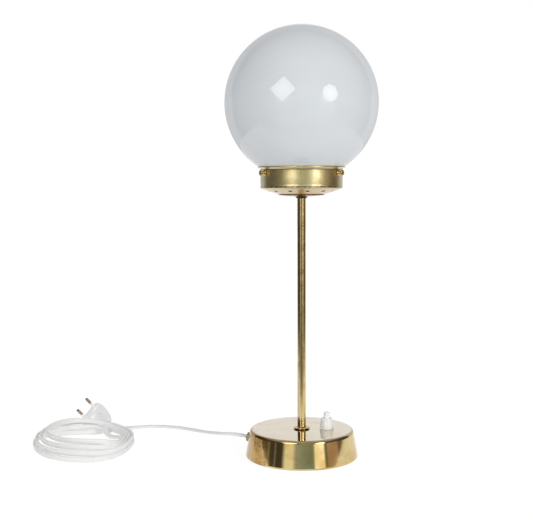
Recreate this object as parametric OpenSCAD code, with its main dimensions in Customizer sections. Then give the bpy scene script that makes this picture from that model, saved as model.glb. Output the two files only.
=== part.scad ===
// Glass globe table lamp: brass foot and stem, a spun gallery that holds an opal
// globe with three screws, a lampholder with its bulb, a push switch in the foot,
// and a flat flex with its plug. Millimetres, +Z up, origin at the middle of the
// foot's underside, the switch towards +X, the viewer's side towards -Y.

/* [Foot shell] */
// Height of the foot's top face above the table
base_h = 33.6; // [32.5:0.1:37]
// Widest radius of the shell, just above the table
base_foot_r = 66.9; // [66:0.1:72]
// How far the side leans in, in degrees from upright
base_taper = 9.8; // [7:0.1:11]
// Rounding between the side and the top face
base_shoulder_r = 4; // [3:0.5:6]
// Rounding of the rolled bottom edge
base_bead_r = 1.8; // [1.5:0.1:2.2]
// Thickness of the spun brass
base_wall = 0.9; // [0.7:0.1:1.2]
// Gap between the shell's bottom edge and the table
base_lift = 0.8; // [0.5:0.1:1.2]
// How far the bottom edge is turned in
base_turn_in = 2.2; // [1.5:0.1:3]

/* [Weight and felt] */
// Thickness of the felt under the foot
felt_t = 2; // [1.8:0.1:2.6]
// Thickness of the weight's wide bottom step
weight_step_h = 4; // [3:0.5:5]
// Radius of the weight above its step
weight_r = 53; // [51:0.5:55]
// Height of the weight above its step
weight_h = 9; // [8:0.5:9.5]
// Radius of the hub that holds up the shell
hub_r = 12; // [11:0.25:13]
// Radius of the hollow under the weight for the nut
nut_hollow_r = 12; // [11:0.5:16]
// Height of the hollow for the nut
nut_hollow_h = 6; // [5.5:0.25:7]

/* [Stem] */
// Outer radius of the stem tube
stem_r = 5; // [4.6:0.1:5.4]
// Wall of the stem tube
stem_wall = 0.8; // [0.6:0.1:1]
// Length of stem that shows between the foot and the gallery's ring
stem_show = 275; // [190:1:340]
// Radius of the hole where the wires enter the stem
stem_hole_r = 3; // [2.8:0.1:3.2]
// Radius of the ring at the stem's foot
foot_ring_r = 9.8; // [8:0.1:12]
// Height of the ring at the stem's foot
foot_ring_h = 3.1; // [2:0.1:5]
// Radius of the ring at the stem's top
top_ring_r = 7.1; // [6.2:0.1:9]
// Height of the ring at the stem's top
top_ring_h = 2.1; // [1.5:0.1:4]
// Width across the flats of the stem's nuts
nut_flats = 14; // [13.5:0.5:16]
// Height of the stem's nuts
nut_h = 3; // [2.5:0.25:3.5]
// Thickness of the washer under the weight
washer_t = 0.8; // [0.6:0.1:1.2]

/* [Gallery] */
// Radius of the turned disc under the gallery
disc_r = 27; // [22:0.2:30]
// Height of the turned disc
disc_h = 2.7; // [2:0.1:4]
// Gap between the globe's neck and the gallery's wall
neck_gap = 3.8; // [2.9:0.1:7.5]
// Height of the gallery from its floor to its lip
gallery_h = 32.2; // [30:0.1:38]
// Slope of the gallery's floor, in degrees
gallery_slope = 18; // [12:0.5:20]
// Thickness of the spun gallery
gallery_sheet = 0.8; // [0.6:0.1:1.2]
// Rounding between the floor and the wall
gallery_corner_r = 1.5; // [1.2:0.1:2.5]
// How far the lip stands out past the wall
lip_out = 3.2; // [2.4:0.1:3.8]
// Height of the flared lip
lip_h = 4.1; // [3.6:0.1:4.6]
// Number of air holes in the floor
vent_count = 12; // [6:1:16]
// Radius of each air hole
vent_r = 2.25; // [1.5:0.05:3]
// Radius of the ring of air holes
vent_ring_r = 38.6; // [35:0.2:40]
// Turn of the first air hole from the viewer's side, in degrees
vent_turn = 10.5; // [0:0.5:30]

/* [Globe] */
// Outer radius of the globe
globe_r = 90; // [80:1:110]
// Thickness of the glass
glass_t = 3; // [2.4:0.1:3.5]
// Outer radius of the globe's neck
neck_r = 43.6; // [41:0.1:44.2]
// Rounding between the globe and its neck
neck_fillet_r = 3; // [2:0.25:4]

/* [Glass screws] */
// Number of screws round the gallery
screw_count = 3; // [3:1:3]
// Radius of the screw's thread
screw_r = 1.9; // [1.6:0.05:2.1]
// How far the screws' line lies under the lip
screw_drop = 7.4; // [7.2:0.1:9]
// Radius of the knurled head
screw_head_r = 3.25; // [2.6:0.05:4]
// Length of the head outside the wall
screw_head_l = 6.9; // [5.5:0.1:9]
// How far a screw backs out to free the globe
screw_travel = 4; // [2:0.5:4]
// Radius of the threaded boss inside the wall
boss_r = 2.9; // [2.6:0.05:3]
// Length of the threaded boss
boss_l = 1.9; // [1.2:0.1:2.4]

/* [Lampholder] */
// Outer radius of the lampholder
holder_r = 19.5; // [19:0.25:24]
// Wall of the lampholder
holder_wall = 2.2; // [1.8:0.1:2.6]
// Height of the lampholder's cap
holder_cap_h = 19.2; // [18.5:0.1:24]
// Height of the lampholder's skirt above the cap
holder_skirt_h = 34; // [32:0.5:36]
// Thickness of the porcelain block
insert_h = 8; // [7:0.5:9]
// Inner radius of the threaded socket
socket_r = 13.5; // [13.5:0.1:13.8]
// Thickness of the socket's sheet
socket_sheet = 0.6; // [0.4:0.1:0.7]
// Height of the threaded socket
socket_h = 25; // [22:0.5:25]

/* [Bulb] */
// Radius of the bulb's screw cap
bulb_cap_r = 13.1; // [12.8:0.05:13.15]
// Height of the bulb's screw cap
bulb_cap_h = 21; // [20:0.5:24]
// Radius of the bulb's glass
bulb_r = 30; // [24:0.5:32]
// Length of the bulb from its contact to its top
bulb_len = 104; // [98:1:116]
// Thickness of the bulb's glass
bulb_wall = 0.8; // [0.6:0.1:1.2]

/* [Switch] */
// Distance of the switch from the stem's axis
switch_x = 29.9; // [28.5:0.1:32]
// Radius of the cone's foot
collar_r = 8.4; // [7.5:0.1:10]
// Radius of the cone's top
collar_top_r = 6.85; // [6.4:0.05:7.4]
// Height of the cone
collar_h = 12.6; // [11:0.1:16]
// Radius of the push button
button_r = 3.5; // [3:0.05:3.7]
// How far the button stands out of the cone
button_proud = 7.7; // [5:0.1:9]
// How far the button travels
button_travel = 3; // [2:0.25:3.5]
// Radius of the switch's threaded neck
switch_neck_r = 5; // [4.6:0.05:5.4]
// Radius of the switch's housing
switch_r = 9.5; // [8.5:0.25:9.75]
// Height of the switch's housing under the shell
switch_h = 17; // [16.5:0.25:18]

/* [Cable entry] */
// Radius of the cable entry's flange
gland_r = 5.5; // [5.1:0.1:7]
// Length of the cable entry outside the shell
gland_out = 3.4; // [2.5:0.1:5]
// Height of the cable entry above the table
gland_z = 19.6; // [19.2:0.1:20.5]
// Radius of the cable entry's thread
gland_neck_r = 4.5; // [4.2:0.05:4.8]
// Width of the flat flex
flex_w = 6; // [5.2:0.1:6.2]
// Thickness of the flat flex
flex_t = 3.4; // [2.8:0.1:3.6]

/* [Coil and plug] */
// Width of the coil of flex, left to right
coil_w = 126; // [115:1:135]
// Depth of the coil of flex, front to back
coil_d = 143; // [140:1:152]
// Thickness of the coil's ring
coil_t = 16.5; // [12:0.5:20]
// Height of the coil
coil_h = 22; // [16:0.5:25]
// Width of the plug across its pins
plug_w = 35.8; // [33:0.1:36.5]
// Length of the plug's body
plug_l = 44.6; // [42:0.2:46]
// Thickness of the plug's body
plug_t = 11.5; // [10:0.1:12]
// Distance between the two pins
pin_pitch = 18.6; // [17.5:0.1:19]
// Radius of a pin
pin_r = 2; // [2:0.05:2.4]
// Length of a pin
pin_l = 19; // [17:0.5:20]
// Length of the insulated part of a pin
pin_sleeve_l = 10; // [8:0.5:11]

/* [Hidden] */

$fn = 96;
fit = 0.05;           // radial play of a turned piece in its hole
seat = 0.3;           // gap that is left where a loose piece rests
lip_seat = 0.2;       // gap between the globe and the lip's inner edge
over = 1;             // how far a cutting solid runs past what it cuts

// ---- heights, from the table up ----
shell_under = base_h - base_wall;
weight_z = felt_t;
weight_step_z = weight_z + weight_step_h;
weight_top = weight_step_z + weight_h;
stem_z = weight_z + over;
top_ring_z = base_h + stem_show;
disc_z = top_ring_z + top_ring_h;
gallery_z = disc_z + disc_h;
gallery_floor = gallery_z + gallery_sheet;
gallery_top = gallery_z + gallery_h;
cap_z = gallery_floor + nut_h;
insert_z = cap_z + holder_cap_h - holder_wall;
socket_z = insert_z + insert_h;
skirt_z = cap_z + holder_cap_h;
stem_top = cap_z + holder_cap_h / 2;
bulb_z = socket_z + 4;
bulb_cap_z = bulb_z + 4;
bulb_cap_top = bulb_cap_z + bulb_cap_h;

// ---- foot shell: the lean of its side as a line n.p = k ----
bead_c = [base_foot_r - base_bead_r, base_lift + base_bead_r];
lean = [cos(base_taper), sin(base_taper)];
side_k = bead_c * lean + base_bead_r;
shoulder_z = base_h - base_shoulder_r;
shoulder_c = [(side_k - base_shoulder_r - shoulder_z * lean[1]) / lean[0], shoulder_z];
function side_r(z, in = 0) = (side_k - in - z * lean[1]) / lean[0];
felt_r = bead_c[0] - base_turn_in - seat;

// ---- stem ----
stem_bore_r = stem_r - stem_wall;
stem_hole_z = (weight_top + shell_under) / 2 - over;
hub_slot_w = 7;
nut_corner_r = nut_flats / 2 / cos(30);

// ---- gallery: its wall stands round the globe's neck ----
gallery_r = neck_r + neck_gap + gallery_sheet;
lip_top_w = gallery_sheet * 0.75;
lip_edge_h = 0.4;
corner_c = [gallery_r - gallery_corner_r,
    gallery_z + ((gallery_r - gallery_corner_r - disc_r) * sin(gallery_slope) + gallery_corner_r)
        / cos(gallery_slope)];
function floor_z(r) = gallery_z + gallery_sheet / cos(gallery_slope)
    + (r - disc_r) * tan(gallery_slope);
lip_z = gallery_top - lip_h;

// ---- globe: it hangs just clear of the lip, its neck ends just over the floor ----
lip_r = gallery_r + lip_out;
globe_z = gallery_top + lip_seat + sqrt(pow(globe_r, 2) - pow(lip_r - lip_top_w, 2));
neck_z = floor_z(neck_r) + seat;
fillet_r = neck_r + neck_fillet_r;
fillet_z = globe_z - sqrt(pow(globe_r + neck_fillet_r, 2) - pow(fillet_r, 2));

// ---- glass screws ----
screw_z = gallery_top - screw_drop;
screw_turns = [210, 330, 90];
screw_tip = neck_r + seat;
screw_seat = gallery_r + 0.2;

// ---- switch ----
switch_z = shell_under - switch_h;
switch_floor = 1.9;
switch_roof = 3.2;
switch_flange_t = 1.5;
neck_top = base_h + 8;
cavity_r = switch_r - 2.5;
cavity_z = switch_z + switch_floor;
cavity_top = shell_under - switch_roof;
button_top = base_h + collar_h + button_proud;
button_flange_r = cavity_r - 1;
button_flange_h = 2.7;
button_flange_z = cavity_top - seat - button_flange_h;
button_round = 2.2;
spigot_r = 2.2;
bridge_t = 0.8;
bridge_z = button_flange_z - bridge_t;
bridge_r = button_flange_r - 0.4;
contact_t = 0.8;
contact_pad_z = bridge_z - button_travel - seat - contact_t;
contact_y = cavity_r - contact_t / 2 - 0.3;
contact_w = 3;
contact_reach = 2.1;
blade_l = 4;
spring_r = 3.4;
spring_wire_r = 0.25;
spring_turns = 5;
pocket_r = switch_r + 4;
pocket_z = weight_step_z;

// ---- cable entry: its axis stands square to the leaning side ----
gland_turn = 169.5;
gland_side_r = side_r(gland_z);
gland_at = [gland_side_r * cos(gland_turn), gland_side_r * sin(gland_turn), gland_z];
gland_dir = [lean[0] * cos(gland_turn), lean[0] * sin(gland_turn), lean[1]];
gland_neck_l = 6;
gland_nut_t = 3;
gland_nut_flats = 13;
gland_nut_z = -base_wall - 0.5 - gland_nut_t;
flex_play = 0.15;

// ---- clamp on the weight, in line with the cable entry ----
inward = [cos(gland_turn), sin(gland_turn)];
clamp_r = 44;
clamp_w = 7;
clamp_t = 1.2;
clamp_half = 11;
clamp_screw_y = 7.8;
clamp_screw_r = 1.5;
clamp_screw_head_r = 2.6;
clamp_screw_deep = 6;
tail_end_r = 38;
function on_line(r, z) = [r * inward[0], r * inward[1], z];
flex_lie_z = weight_top + flex_t / 2 + fit;

// ---- flex between the cable entry and the coil: points in millimetres ----
exit_at = gland_at + gland_out * gland_dir;
run_points = [
    exit_at,
    exit_at + 7 * gland_dir,
    [-84, 15.5, 22.3], [-93.5, 21.5, 21], [-101.5, 30, 19.2], [-109, 41, 17],
    [-115.5, 53, 14.4], [-121.5, 65, 11.9], [-128, 77.5, 9.5], [-135.5, 90, 7.4],
    [-144, 102, 5.6], [-154, 113, 4.2], [-166.5, 123, 3.1], [-180, 129.5, 2.3],
    [-193.5, 132.5, 1.9], [-207, 131, 1.8], [-220, 126.5, 1.9], [-232, 119, 2.4],
    [-241.5, 110.5, 3.6], [-248.8, 102.3, 4.8]
];
run_sides = 10;

// ---- wires inside the foot and stem ----
wire_r = 1.1;
wire_sides = 8;
wire_y = 1.4;
wire_lift = stem_hole_z;
wire_part_x = 30;     // where the neutral wire leaves the flex's end
wire_rise_x = 22;     // where it starts to rise to the stem
wire_hub_r = hub_r + 6;
wire_inner_r = hub_r + 4.2;
wire_drop_z = switch_z - blade_l / 2 - 0.8;
wire_end_y = contact_y + contact_t / 2 + wire_r + 0.1;
function around(r, turn, z) = [r * cos(turn), r * sin(turn), z];
function at_contact(side) = [
    [switch_x, side * wire_end_y, wire_drop_z],
    [switch_x - 2 * contact_reach, side * (wire_end_y + contact_reach), wire_drop_z + 0.3],
    [switch_x, 0, 0] + around(pocket_r - wire_r - 0.4, side * 126, weight_top),
    [switch_x, 0, 0] + around(pocket_r + wire_r + 0.1, side * 134, weight_top + wire_r + 1.4)
];
tail_side = 1.3;
function tail_wire(side) = [
    for (r = [tail_end_r - 0.4, tail_end_r - 4])
        on_line(r, flex_lie_z) + side * tail_side * [inward[1], -inward[0], 0]
];
terminal_x = 8;
terminal_h = 4;
terminal_z = insert_z - terminal_h;

// ---- coil: two half rings with a short straight between them ----
coil_at = [-271, 33.5];
coil_r = coil_w / 2;
coil_straight = coil_d - coil_w;

// ---- plug: leans on the coil, pins up towards the viewer ----
plug_at = [-288, 132.5, 22.3];
plug_tilt = [45.5, 6, -43.5];
pin_x = 6.3;
pin_deep = 6;
pin_core_r = pin_r - 0.5;
plug_corner_r = 7;
plug_neck_x = 33;
plug_neck_w = 12.2;
plug_tail_w = 4.4;
plug_slope_x = 26;
plug_tail_drop = 2.1;
scoop_x = 12.7;
scoop_r = 8.5;
scoop_deep = 5.5;

// ---- shapes that several pieces use ----
function arc(c, r, from, to, n = 8) =
    [for (i = [0:n]) let (a = from + (to - from) * i / n) c + r * [cos(a), sin(a)]];
function back(list) = [for (i = [len(list) - 1:-1:0]) list[i]];
function unit(v) = v / norm(v);
function way(p, i) = unit(p[min(i + 1, len(p) - 1)] - p[max(i - 1, 0)]);

module lathe() {
    rotate_extrude() children();
}

module ring(outer_r, inner_r, h) {
    difference() {
        cylinder(r = outer_r, h = h);
        translate([0, 0, -over]) cylinder(r = inner_r, h = h + 2 * over);
    }
}

module hex_nut(flats, bore_r, h) {
    difference() {
        cylinder(r = flats / 2 / cos(30), h = h, $fn = 6);
        translate([0, 0, -over]) cylinder(r = bore_r, h = h + 2 * over);
    }
}

// A closed tube of oval section along a list of points.
module sweep(p, half_w, half_t, n, up) {
    last = len(p) - 1;
    points = [
        for (i = [0:last])
            let (t = way(p, i), s = unit(cross(t, up)), u = cross(s, t))
                for (k = [0:n - 1])
                    p[i] + half_w * cos(360 * k / n) * s + half_t * sin(360 * k / n) * u
    ];
    sides = [
        for (i = [0:last - 1], k = [0:n - 1])
            let (a = i * n + k, b = i * n + (k + 1) % n)
                each [[a, a + n, b], [b, a + n, b + n]]
    ];
    ends = [[for (k = [0:n - 1]) k], [for (k = [n - 1:-1:0]) last * n + k]];
    polyhedron(points, concat(sides, ends));
}

module at_switch() {
    translate([switch_x, 0, 0]) children();
}

module at_gland() {
    translate(gland_at) rotate([0, 0, gland_turn]) rotate([0, 90 - base_taper, 0]) children();
}

module at_plug() {
    translate(plug_at) rotate(plug_tilt) children();
}

// A rod with flat ends' corners rounded like the flex, along +Z.
module flex_bar(grow, z0, z1) {
    r = flex_t / 2 + grow;
    half = (flex_w - flex_t) / 2;
    translate([-r, -half, z0]) cube([2 * r, 2 * half, z1 - z0]);
    for (side = [-1, 1])
        translate([0, side * half, z0]) cylinder(r = r, h = z1 - z0);
}

// ---- foot ----
module base_shell() {
    color("#c8a860")
    difference() {
        lathe() polygon(concat(
            [[bead_c[0] - base_turn_in, base_lift]],
            arc(bead_c, base_bead_r, -90, base_taper),
            arc(shoulder_c, base_shoulder_r, base_taper, 90),
            [[stem_r + fit, base_h], [stem_r + fit, shell_under]],
            arc(shoulder_c, base_shoulder_r - base_wall, 90, base_taper),
            arc(bead_c, base_bead_r - base_wall, base_taper, -90),
            [[bead_c[0] - base_turn_in, base_lift + base_wall]]
        ));
        at_switch() translate([0, 0, shell_under - over])
            cylinder(r = switch_neck_r + fit, h = base_wall + 2 * over);
        at_gland() translate([0, 0, -3 * over])
            cylinder(r = gland_neck_r + fit, h = 5 * over);
    }
}

module base_weight() {
    step_r = side_r(weight_step_z, base_wall) - 0.4;
    color("#3c3a38")
    difference() {
        union() {
            translate([0, 0, weight_z]) cylinder(r = step_r, h = weight_step_h);
            translate([0, 0, weight_step_z]) cylinder(r = weight_r, h = weight_h);
            translate([0, 0, weight_top]) cylinder(r = hub_r, h = shell_under - weight_top);
        }
        cylinder(r = stem_r + fit, h = base_h);
        translate([0, 0, weight_z - over]) cylinder(r = nut_hollow_r, h = nut_hollow_h + over);
        at_switch() translate([0, 0, pocket_z]) cylinder(r = pocket_r, h = weight_h + over);
        translate([-hub_r - over, -hub_slot_w / 2, stem_hole_z - 5])
            cube([hub_r + over, hub_slot_w, 10]);
        clamp_screw_places() translate([0, 0, weight_top - clamp_screw_deep])
            cylinder(r = clamp_screw_r + fit, h = clamp_screw_deep + over);
    }
}

module base_felt() {
    color("#2f3a2c") cylinder(r = felt_r, h = felt_t);
}

module weight_washer() {
    color("#8d8f92")
    translate([0, 0, weight_z + nut_hollow_h - washer_t])
        ring(nut_corner_r + 1.5, stem_r + fit, washer_t);
}

module weight_nut() {
    color("#a08a52")
    translate([0, 0, weight_z + nut_hollow_h - washer_t - nut_h])
        hex_nut(nut_flats, stem_r + fit, nut_h);
}

// ---- stem ----
module stem_tube() {
    color("#a78b52")
    difference() {
        translate([0, 0, stem_z]) cylinder(r = stem_r, h = stem_top - stem_z);
        cylinder(r = stem_bore_r, h = stem_top + over);
        translate([0, 0, stem_hole_z]) rotate([0, -90, 0])
            cylinder(r = stem_hole_r, h = stem_r + over);
    }
}

module foot_ring() {
    h = foot_ring_h;
    r = foot_ring_r;
    color("#b08d3e")
    translate([0, 0, base_h]) lathe() polygon([
        [stem_r + fit, 0], [r - h / 4, 0], [r, h * 0.7], [r, h * 0.9], [r - h / 8, h],
        [stem_r + fit, h * 0.8]
    ]);
}

module top_ring() {
    color("#2b2320")
    translate([0, 0, top_ring_z]) difference() {
        cylinder(r1 = top_ring_r - top_ring_h * 0.7, r2 = top_ring_r, h = top_ring_h);
        translate([0, 0, -over]) cylinder(r = stem_r + fit, h = top_ring_h + 2 * over);
    }
}

// ---- gallery ----
module gallery_disc() {
    edge = disc_h * 0.3;
    sag_r = (pow(disc_r, 2) + pow(disc_h - edge, 2)) / 2 / (disc_h - edge);
    color("#b7964a")
    translate([0, 0, disc_z]) difference() {
        intersection() {
            cylinder(r = disc_r, h = disc_h);
            translate([0, 0, sag_r]) sphere(r = sag_r, $fn = 400);
        }
        translate([0, 0, -over]) cylinder(r = stem_r + fit, h = disc_h + 2 * over);
    }
}

module gallery() {
    bore = stem_r + fit;
    bend = gallery_sheet * tan(gallery_slope / 2);
    color("#b9a055")
    difference() {
        lathe() polygon(concat(
            [[bore, gallery_z], [disc_r, gallery_z]],
            arc(corner_c, gallery_corner_r, gallery_slope - 90, 0),
            [[gallery_r, lip_z], [lip_r, gallery_top - lip_edge_h], [lip_r, gallery_top],
             [lip_r - lip_top_w, gallery_top],
             [gallery_r - gallery_sheet, lip_z + lip_edge_h]],
            arc(corner_c, gallery_corner_r - gallery_sheet, 0, gallery_slope - 90),
            [[disc_r - bend, gallery_floor], [bore, gallery_floor]]
        ));
        for (i = [0:vent_count - 1])
            rotate([0, 0, vent_turn - 90 + i * 360 / vent_count])
                translate([vent_ring_r, 0, gallery_z])
                    cylinder(r = vent_r, h = gallery_h / 2);
        for (turn = screw_turns)
            along_screw(turn) translate([0, 0, neck_r])
                cylinder(r = screw_r + fit, h = gallery_r - neck_r + over);
    }
}

module gallery_nut() {
    color("#a08a52") translate([0, 0, gallery_floor]) hex_nut(nut_flats, stem_r + fit, nut_h);
}

// Places children on a screw's line: +Z runs outwards from the lamp's axis.
module along_screw(turn) {
    translate([0, 0, screw_z]) rotate([0, 0, turn]) rotate([0, 90, 0]) children();
}

module screw_bosses() {
    inner = gallery_r - gallery_sheet;
    color("#a88c46")
    for (turn = screw_turns)
        intersection() {
            cylinder(r = inner, h = gallery_top, $fn = 400);
            along_screw(turn) translate([0, 0, inner - boss_l])
                ring(boss_r, screw_r + fit, boss_l + over);
        }
}

module glass_screw(turn) {
    r = screw_head_r;
    l = screw_head_l;
    color("#a5813a")
    along_screw(turn) {
        translate([0, 0, screw_tip]) cylinder(r = screw_r, h = screw_seat - screw_tip);
        translate([0, 0, screw_seat]) lathe() polygon(concat(
            [[0, 0], [r * 0.8, 0]],
            arc([r * 0.8, l * 0.15], l * 0.15, -90, 60),
            arc([r * 0.9, l * 0.48], r * 0.35, 230, 130),
            arc([r - l * 0.12, l * 0.85], l * 0.12, -40, 90),
            [[0, l * 0.97]]
        ));
    }
}

module glass_screw_left() {
    glass_screw(screw_turns[0]);
}

module glass_screw_right() {
    glass_screw(screw_turns[1]);
}

module glass_screw_back() {
    glass_screw(screw_turns[2]);
}

// ---- globe ----
module globe() {
    tangent = [0, globe_z] + globe_r / (globe_r + neck_fillet_r)
        * [fillet_r, fillet_z - globe_z];
    color("#dfe3e6")
    lathe() difference() {
        intersection() {
            union() {
                translate([0, globe_z]) circle(r = globe_r);
                translate([0, neck_z]) square([neck_r, fillet_z - neck_z]);
                difference() {
                    polygon([[0, fillet_z], [fillet_r, fillet_z], tangent,
                             [tangent[0] - neck_fillet_r, globe_z]]);
                    translate([fillet_r, fillet_z]) circle(r = neck_fillet_r);
                }
            }
            square([globe_r + over, globe_z + globe_r + over]);
        }
        translate([0, globe_z]) circle(r = globe_r - glass_t);
        translate([0, neck_z - over]) square([neck_r - glass_t, globe_z - neck_z]);
    }
}

// ---- lampholder ----
module holder_cap() {
    r = holder_r;
    w = holder_wall;
    neck = stem_r + 4;
    color("#ece8dc")
    translate([0, 0, cap_z]) lathe() polygon([
        [stem_r + fit, 0], [neck, 0], [r, r - neck - 2], [r, holder_cap_h],
        [r - w, holder_cap_h], [r - w, r - neck - 1], [neck - 1, 4], [stem_r + fit, 4]
    ]);
}

module holder_skirt() {
    r = holder_r;
    top = holder_skirt_h;
    lip = 2.5;
    color("#ece8dc")
    translate([0, 0, skirt_z]) lathe() polygon([
        [r - holder_wall, 0], [r, 0], [r, top - 1], [r - 1, top],
        [socket_r + socket_sheet + 0.2, top], [socket_r + socket_sheet + 0.2, top - lip],
        [r - holder_wall, top - lip]
    ]);
}

module holder_insert() {
    color("#f4f1ea")
    translate([0, 0, insert_z]) cylinder(r = holder_r - holder_wall - 0.1, h = insert_h);
}

module holder_terminals() {
    color("#b9a055")
    for (side = [-1, 1])
        translate([side * terminal_x - 2.5, -3, terminal_z]) cube([5, 6, terminal_h]);
}

// Rounded thread ridges as a stack of rings, as seen in a half section.
module ridges(r, count, pitch, size) {
    for (i = [0:count - 1])
        translate([r, (i + 0.5) * pitch]) circle(r = size, $fn = 24);
}

module socket_shell() {
    s = socket_sheet;
    color("#c9a94f")
    translate([0, 0, socket_z]) lathe() difference() {
        union() {
            translate([socket_r, 0]) square([s, socket_h]);
            translate([socket_r, 0]) square([2.5, s]);
            translate([0, 4]) ridges(socket_r + s, 5, 3.6, s * 0.9);
        }
        translate([0, -over]) square([socket_r, socket_h + 2 * over]);
    }
}

module centre_contact() {
    t = 0.5;
    rise = bulb_z - seat - socket_z;
    color("#c9a94f")
    translate([0, 3, socket_z]) rotate([90, 0, 0]) linear_extrude(6) polygon([
        [-11, 0], [-6, 0], [-2, rise - t], [3, rise - t], [5, rise - 2 * t], [5, rise - t],
        [3, rise], [-2.4, rise], [-6.4, t], [-11, t]
    ]);
}

// ---- bulb ----
module bulb_cap() {
    color("#c5c7ca")
    translate([0, 0, bulb_cap_z]) lathe() difference() {
        union() {
            polygon([[0, 0], [bulb_cap_r - 2.5, 0], [bulb_cap_r - 0.7, 2],
                     [bulb_cap_r - 0.7, bulb_cap_h], [0, bulb_cap_h]]);
            translate([0, 2]) ridges(bulb_cap_r - 0.9, 4, 3.6, 0.9);
        }
        polygon([[-over, 1], [bulb_cap_r - 3, 1], [bulb_cap_r - 1.2, 3],
                 [bulb_cap_r - 1.2, bulb_cap_h + over], [-over, bulb_cap_h + over]]);
    }
}

module bulb_contact() {
    h = bulb_cap_z - bulb_z;
    color("#3a3a3c")
    translate([0, 0, bulb_z]) lathe() polygon([
        [0, 0], [4, 0], [4.6, 0.8], [5, 1.2], [bulb_cap_r - 2.8, h], [0, h]
    ]);
}

function blend_r(u, len) = let (r0 = bulb_cap_r - 1.3, r1 = bulb_r * cos(35))
    (2 * pow(u, 3) - 3 * pow(u, 2) + 1) * r0 + (pow(u, 3) - 2 * pow(u, 2) + u) * len * 0.1
    + (3 * pow(u, 2) - 2 * pow(u, 3)) * r1 + (pow(u, 3) - pow(u, 2)) * len * tan(35);

module bulb_glass() {
    z0 = bulb_cap_top;
    centre = bulb_z + bulb_len - bulb_r;
    len = centre - bulb_r * sin(35) - z0;
    side = [for (i = [0:12]) [blend_r(i / 12, len), z0 + len * i / 12]];
    inside = [for (p = back(side)) p - [bulb_wall, 0]];
    r0 = side[0][0];
    color("#f2f1ee")
    lathe() polygon(concat(
        [[r0 - bulb_wall, z0 - 4], [r0, z0 - 4]],
        side,
        arc([0, centre], bulb_r, -32, 90, 24),
        arc([0, centre], bulb_r - bulb_wall, 90, -32, 24),
        inside
    ));
}

// ---- switch ----
module switch_collar() {
    web = neck_top - base_h + 0.2;
    dish = 1.4;
    color("#f3f3f0")
    at_switch() translate([0, 0, base_h]) difference() {
        cylinder(r1 = collar_r, r2 = collar_top_r, h = collar_h);
        translate([0, 0, -over]) cylinder(r = switch_neck_r + fit, h = web + over);
        cylinder(r = button_r + 0.35, h = collar_h + over);
        translate([0, 0, collar_h - dish])
            cylinder(r1 = button_r + 0.35, r2 = collar_top_r - 0.8, h = dish + 0.01);
    }
}

module switch_button() {
    top = button_top - button_flange_z;
    color("#f3f3f0")
    at_switch() translate([0, 0, button_flange_z]) lathe() polygon(concat(
        [[0, -2 * bridge_t], [spigot_r, -2 * bridge_t], [spigot_r, 0], [button_flange_r, 0],
         [button_flange_r, button_flange_h], [button_r, button_flange_h]],
        arc([button_r - button_round, top - button_round], button_round, 0, 90),
        [[0, top]]
    ));
}

module switch_housing() {
    bore = button_r + fit;
    color("#e8e4da")
    at_switch() difference() {
        union() {
            translate([0, 0, switch_z]) cylinder(r = switch_r, h = switch_h);
            translate([0, 0, shell_under - switch_flange_t])
                cylinder(r = switch_r + 1, h = switch_flange_t);
            translate([0, 0, shell_under - over])
                cylinder(r = switch_neck_r, h = neck_top - shell_under + over);
        }
        translate([0, 0, cavity_z]) cylinder(r = cavity_r, h = cavity_top - cavity_z);
        translate([0, 0, cavity_top - over]) cylinder(r = bore, h = neck_top);
        for (side = [-1, 1])
            translate([-contact_w / 2 - 0.1, side * contact_y - contact_t / 2 - 0.1,
                       switch_z - over])
                cube([contact_w + 0.2, contact_t + 0.2, switch_floor + 2 * over]);
    }
}

module switch_bridge() {
    color("#c9a94f")
    at_switch() translate([0, 0, bridge_z]) ring(bridge_r, spigot_r + fit, bridge_t);
}

module switch_spring() {
    low = cavity_z + spring_wire_r + fit;
    high = bridge_z - spring_wire_r - fit;
    steps = 12 * spring_turns;
    coil = [for (i = [0:steps]) let (a = 360 * spring_turns * i / steps)
        [spring_r * cos(a), spring_r * sin(a), low + (high - low) * i / steps]];
    color("#9a9da1")
    at_switch() sweep(coil, spring_wire_r, spring_wire_r, 6, [0, 0, 1]);
}

module switch_contacts() {
    w = contact_w;
    t = contact_t;
    color("#c9a94f")
    at_switch() for (side = [0, 1]) mirror([0, side, 0]) {
        translate([-w / 2, contact_y - t / 2, switch_z - blade_l])
            cube([w, t, contact_pad_z + t - switch_z + blade_l]);
        translate([-w / 2, contact_y - contact_reach, contact_pad_z])
            cube([w, contact_reach, t]);
    }
}

// ---- cable entry, clamp and wiring ----
module cord_gland() {
    color("#8f7d45")
    at_gland() difference() {
        union() {
            translate([0, 0, -gland_neck_l]) cylinder(r = gland_neck_r, h = gland_neck_l + over);
            lathe() polygon(concat(
                [[0, 0], [gland_r, 0]],
                arc([gland_r - 1, gland_out - 1], 1, 0, 90),
                [[0, gland_out]]
            ));
        }
        flex_bar(flex_play, -gland_neck_l - over, gland_out + over);
    }
}

module gland_nut() {
    color("#8f7d45")
    at_gland() translate([0, 0, gland_nut_z])
        hex_nut(gland_nut_flats, gland_neck_r + fit, gland_nut_t);
}

module at_clamp() {
    translate(on_line(clamp_r, weight_top)) rotate([0, 0, gland_turn]) children();
}

module clamp_screw_places() {
    translate([clamp_r * inward[0], clamp_r * inward[1], 0]) rotate([0, 0, gland_turn])
        for (side = [-1, 1])
            translate([0, side * clamp_screw_y, 0]) children();
}

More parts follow.
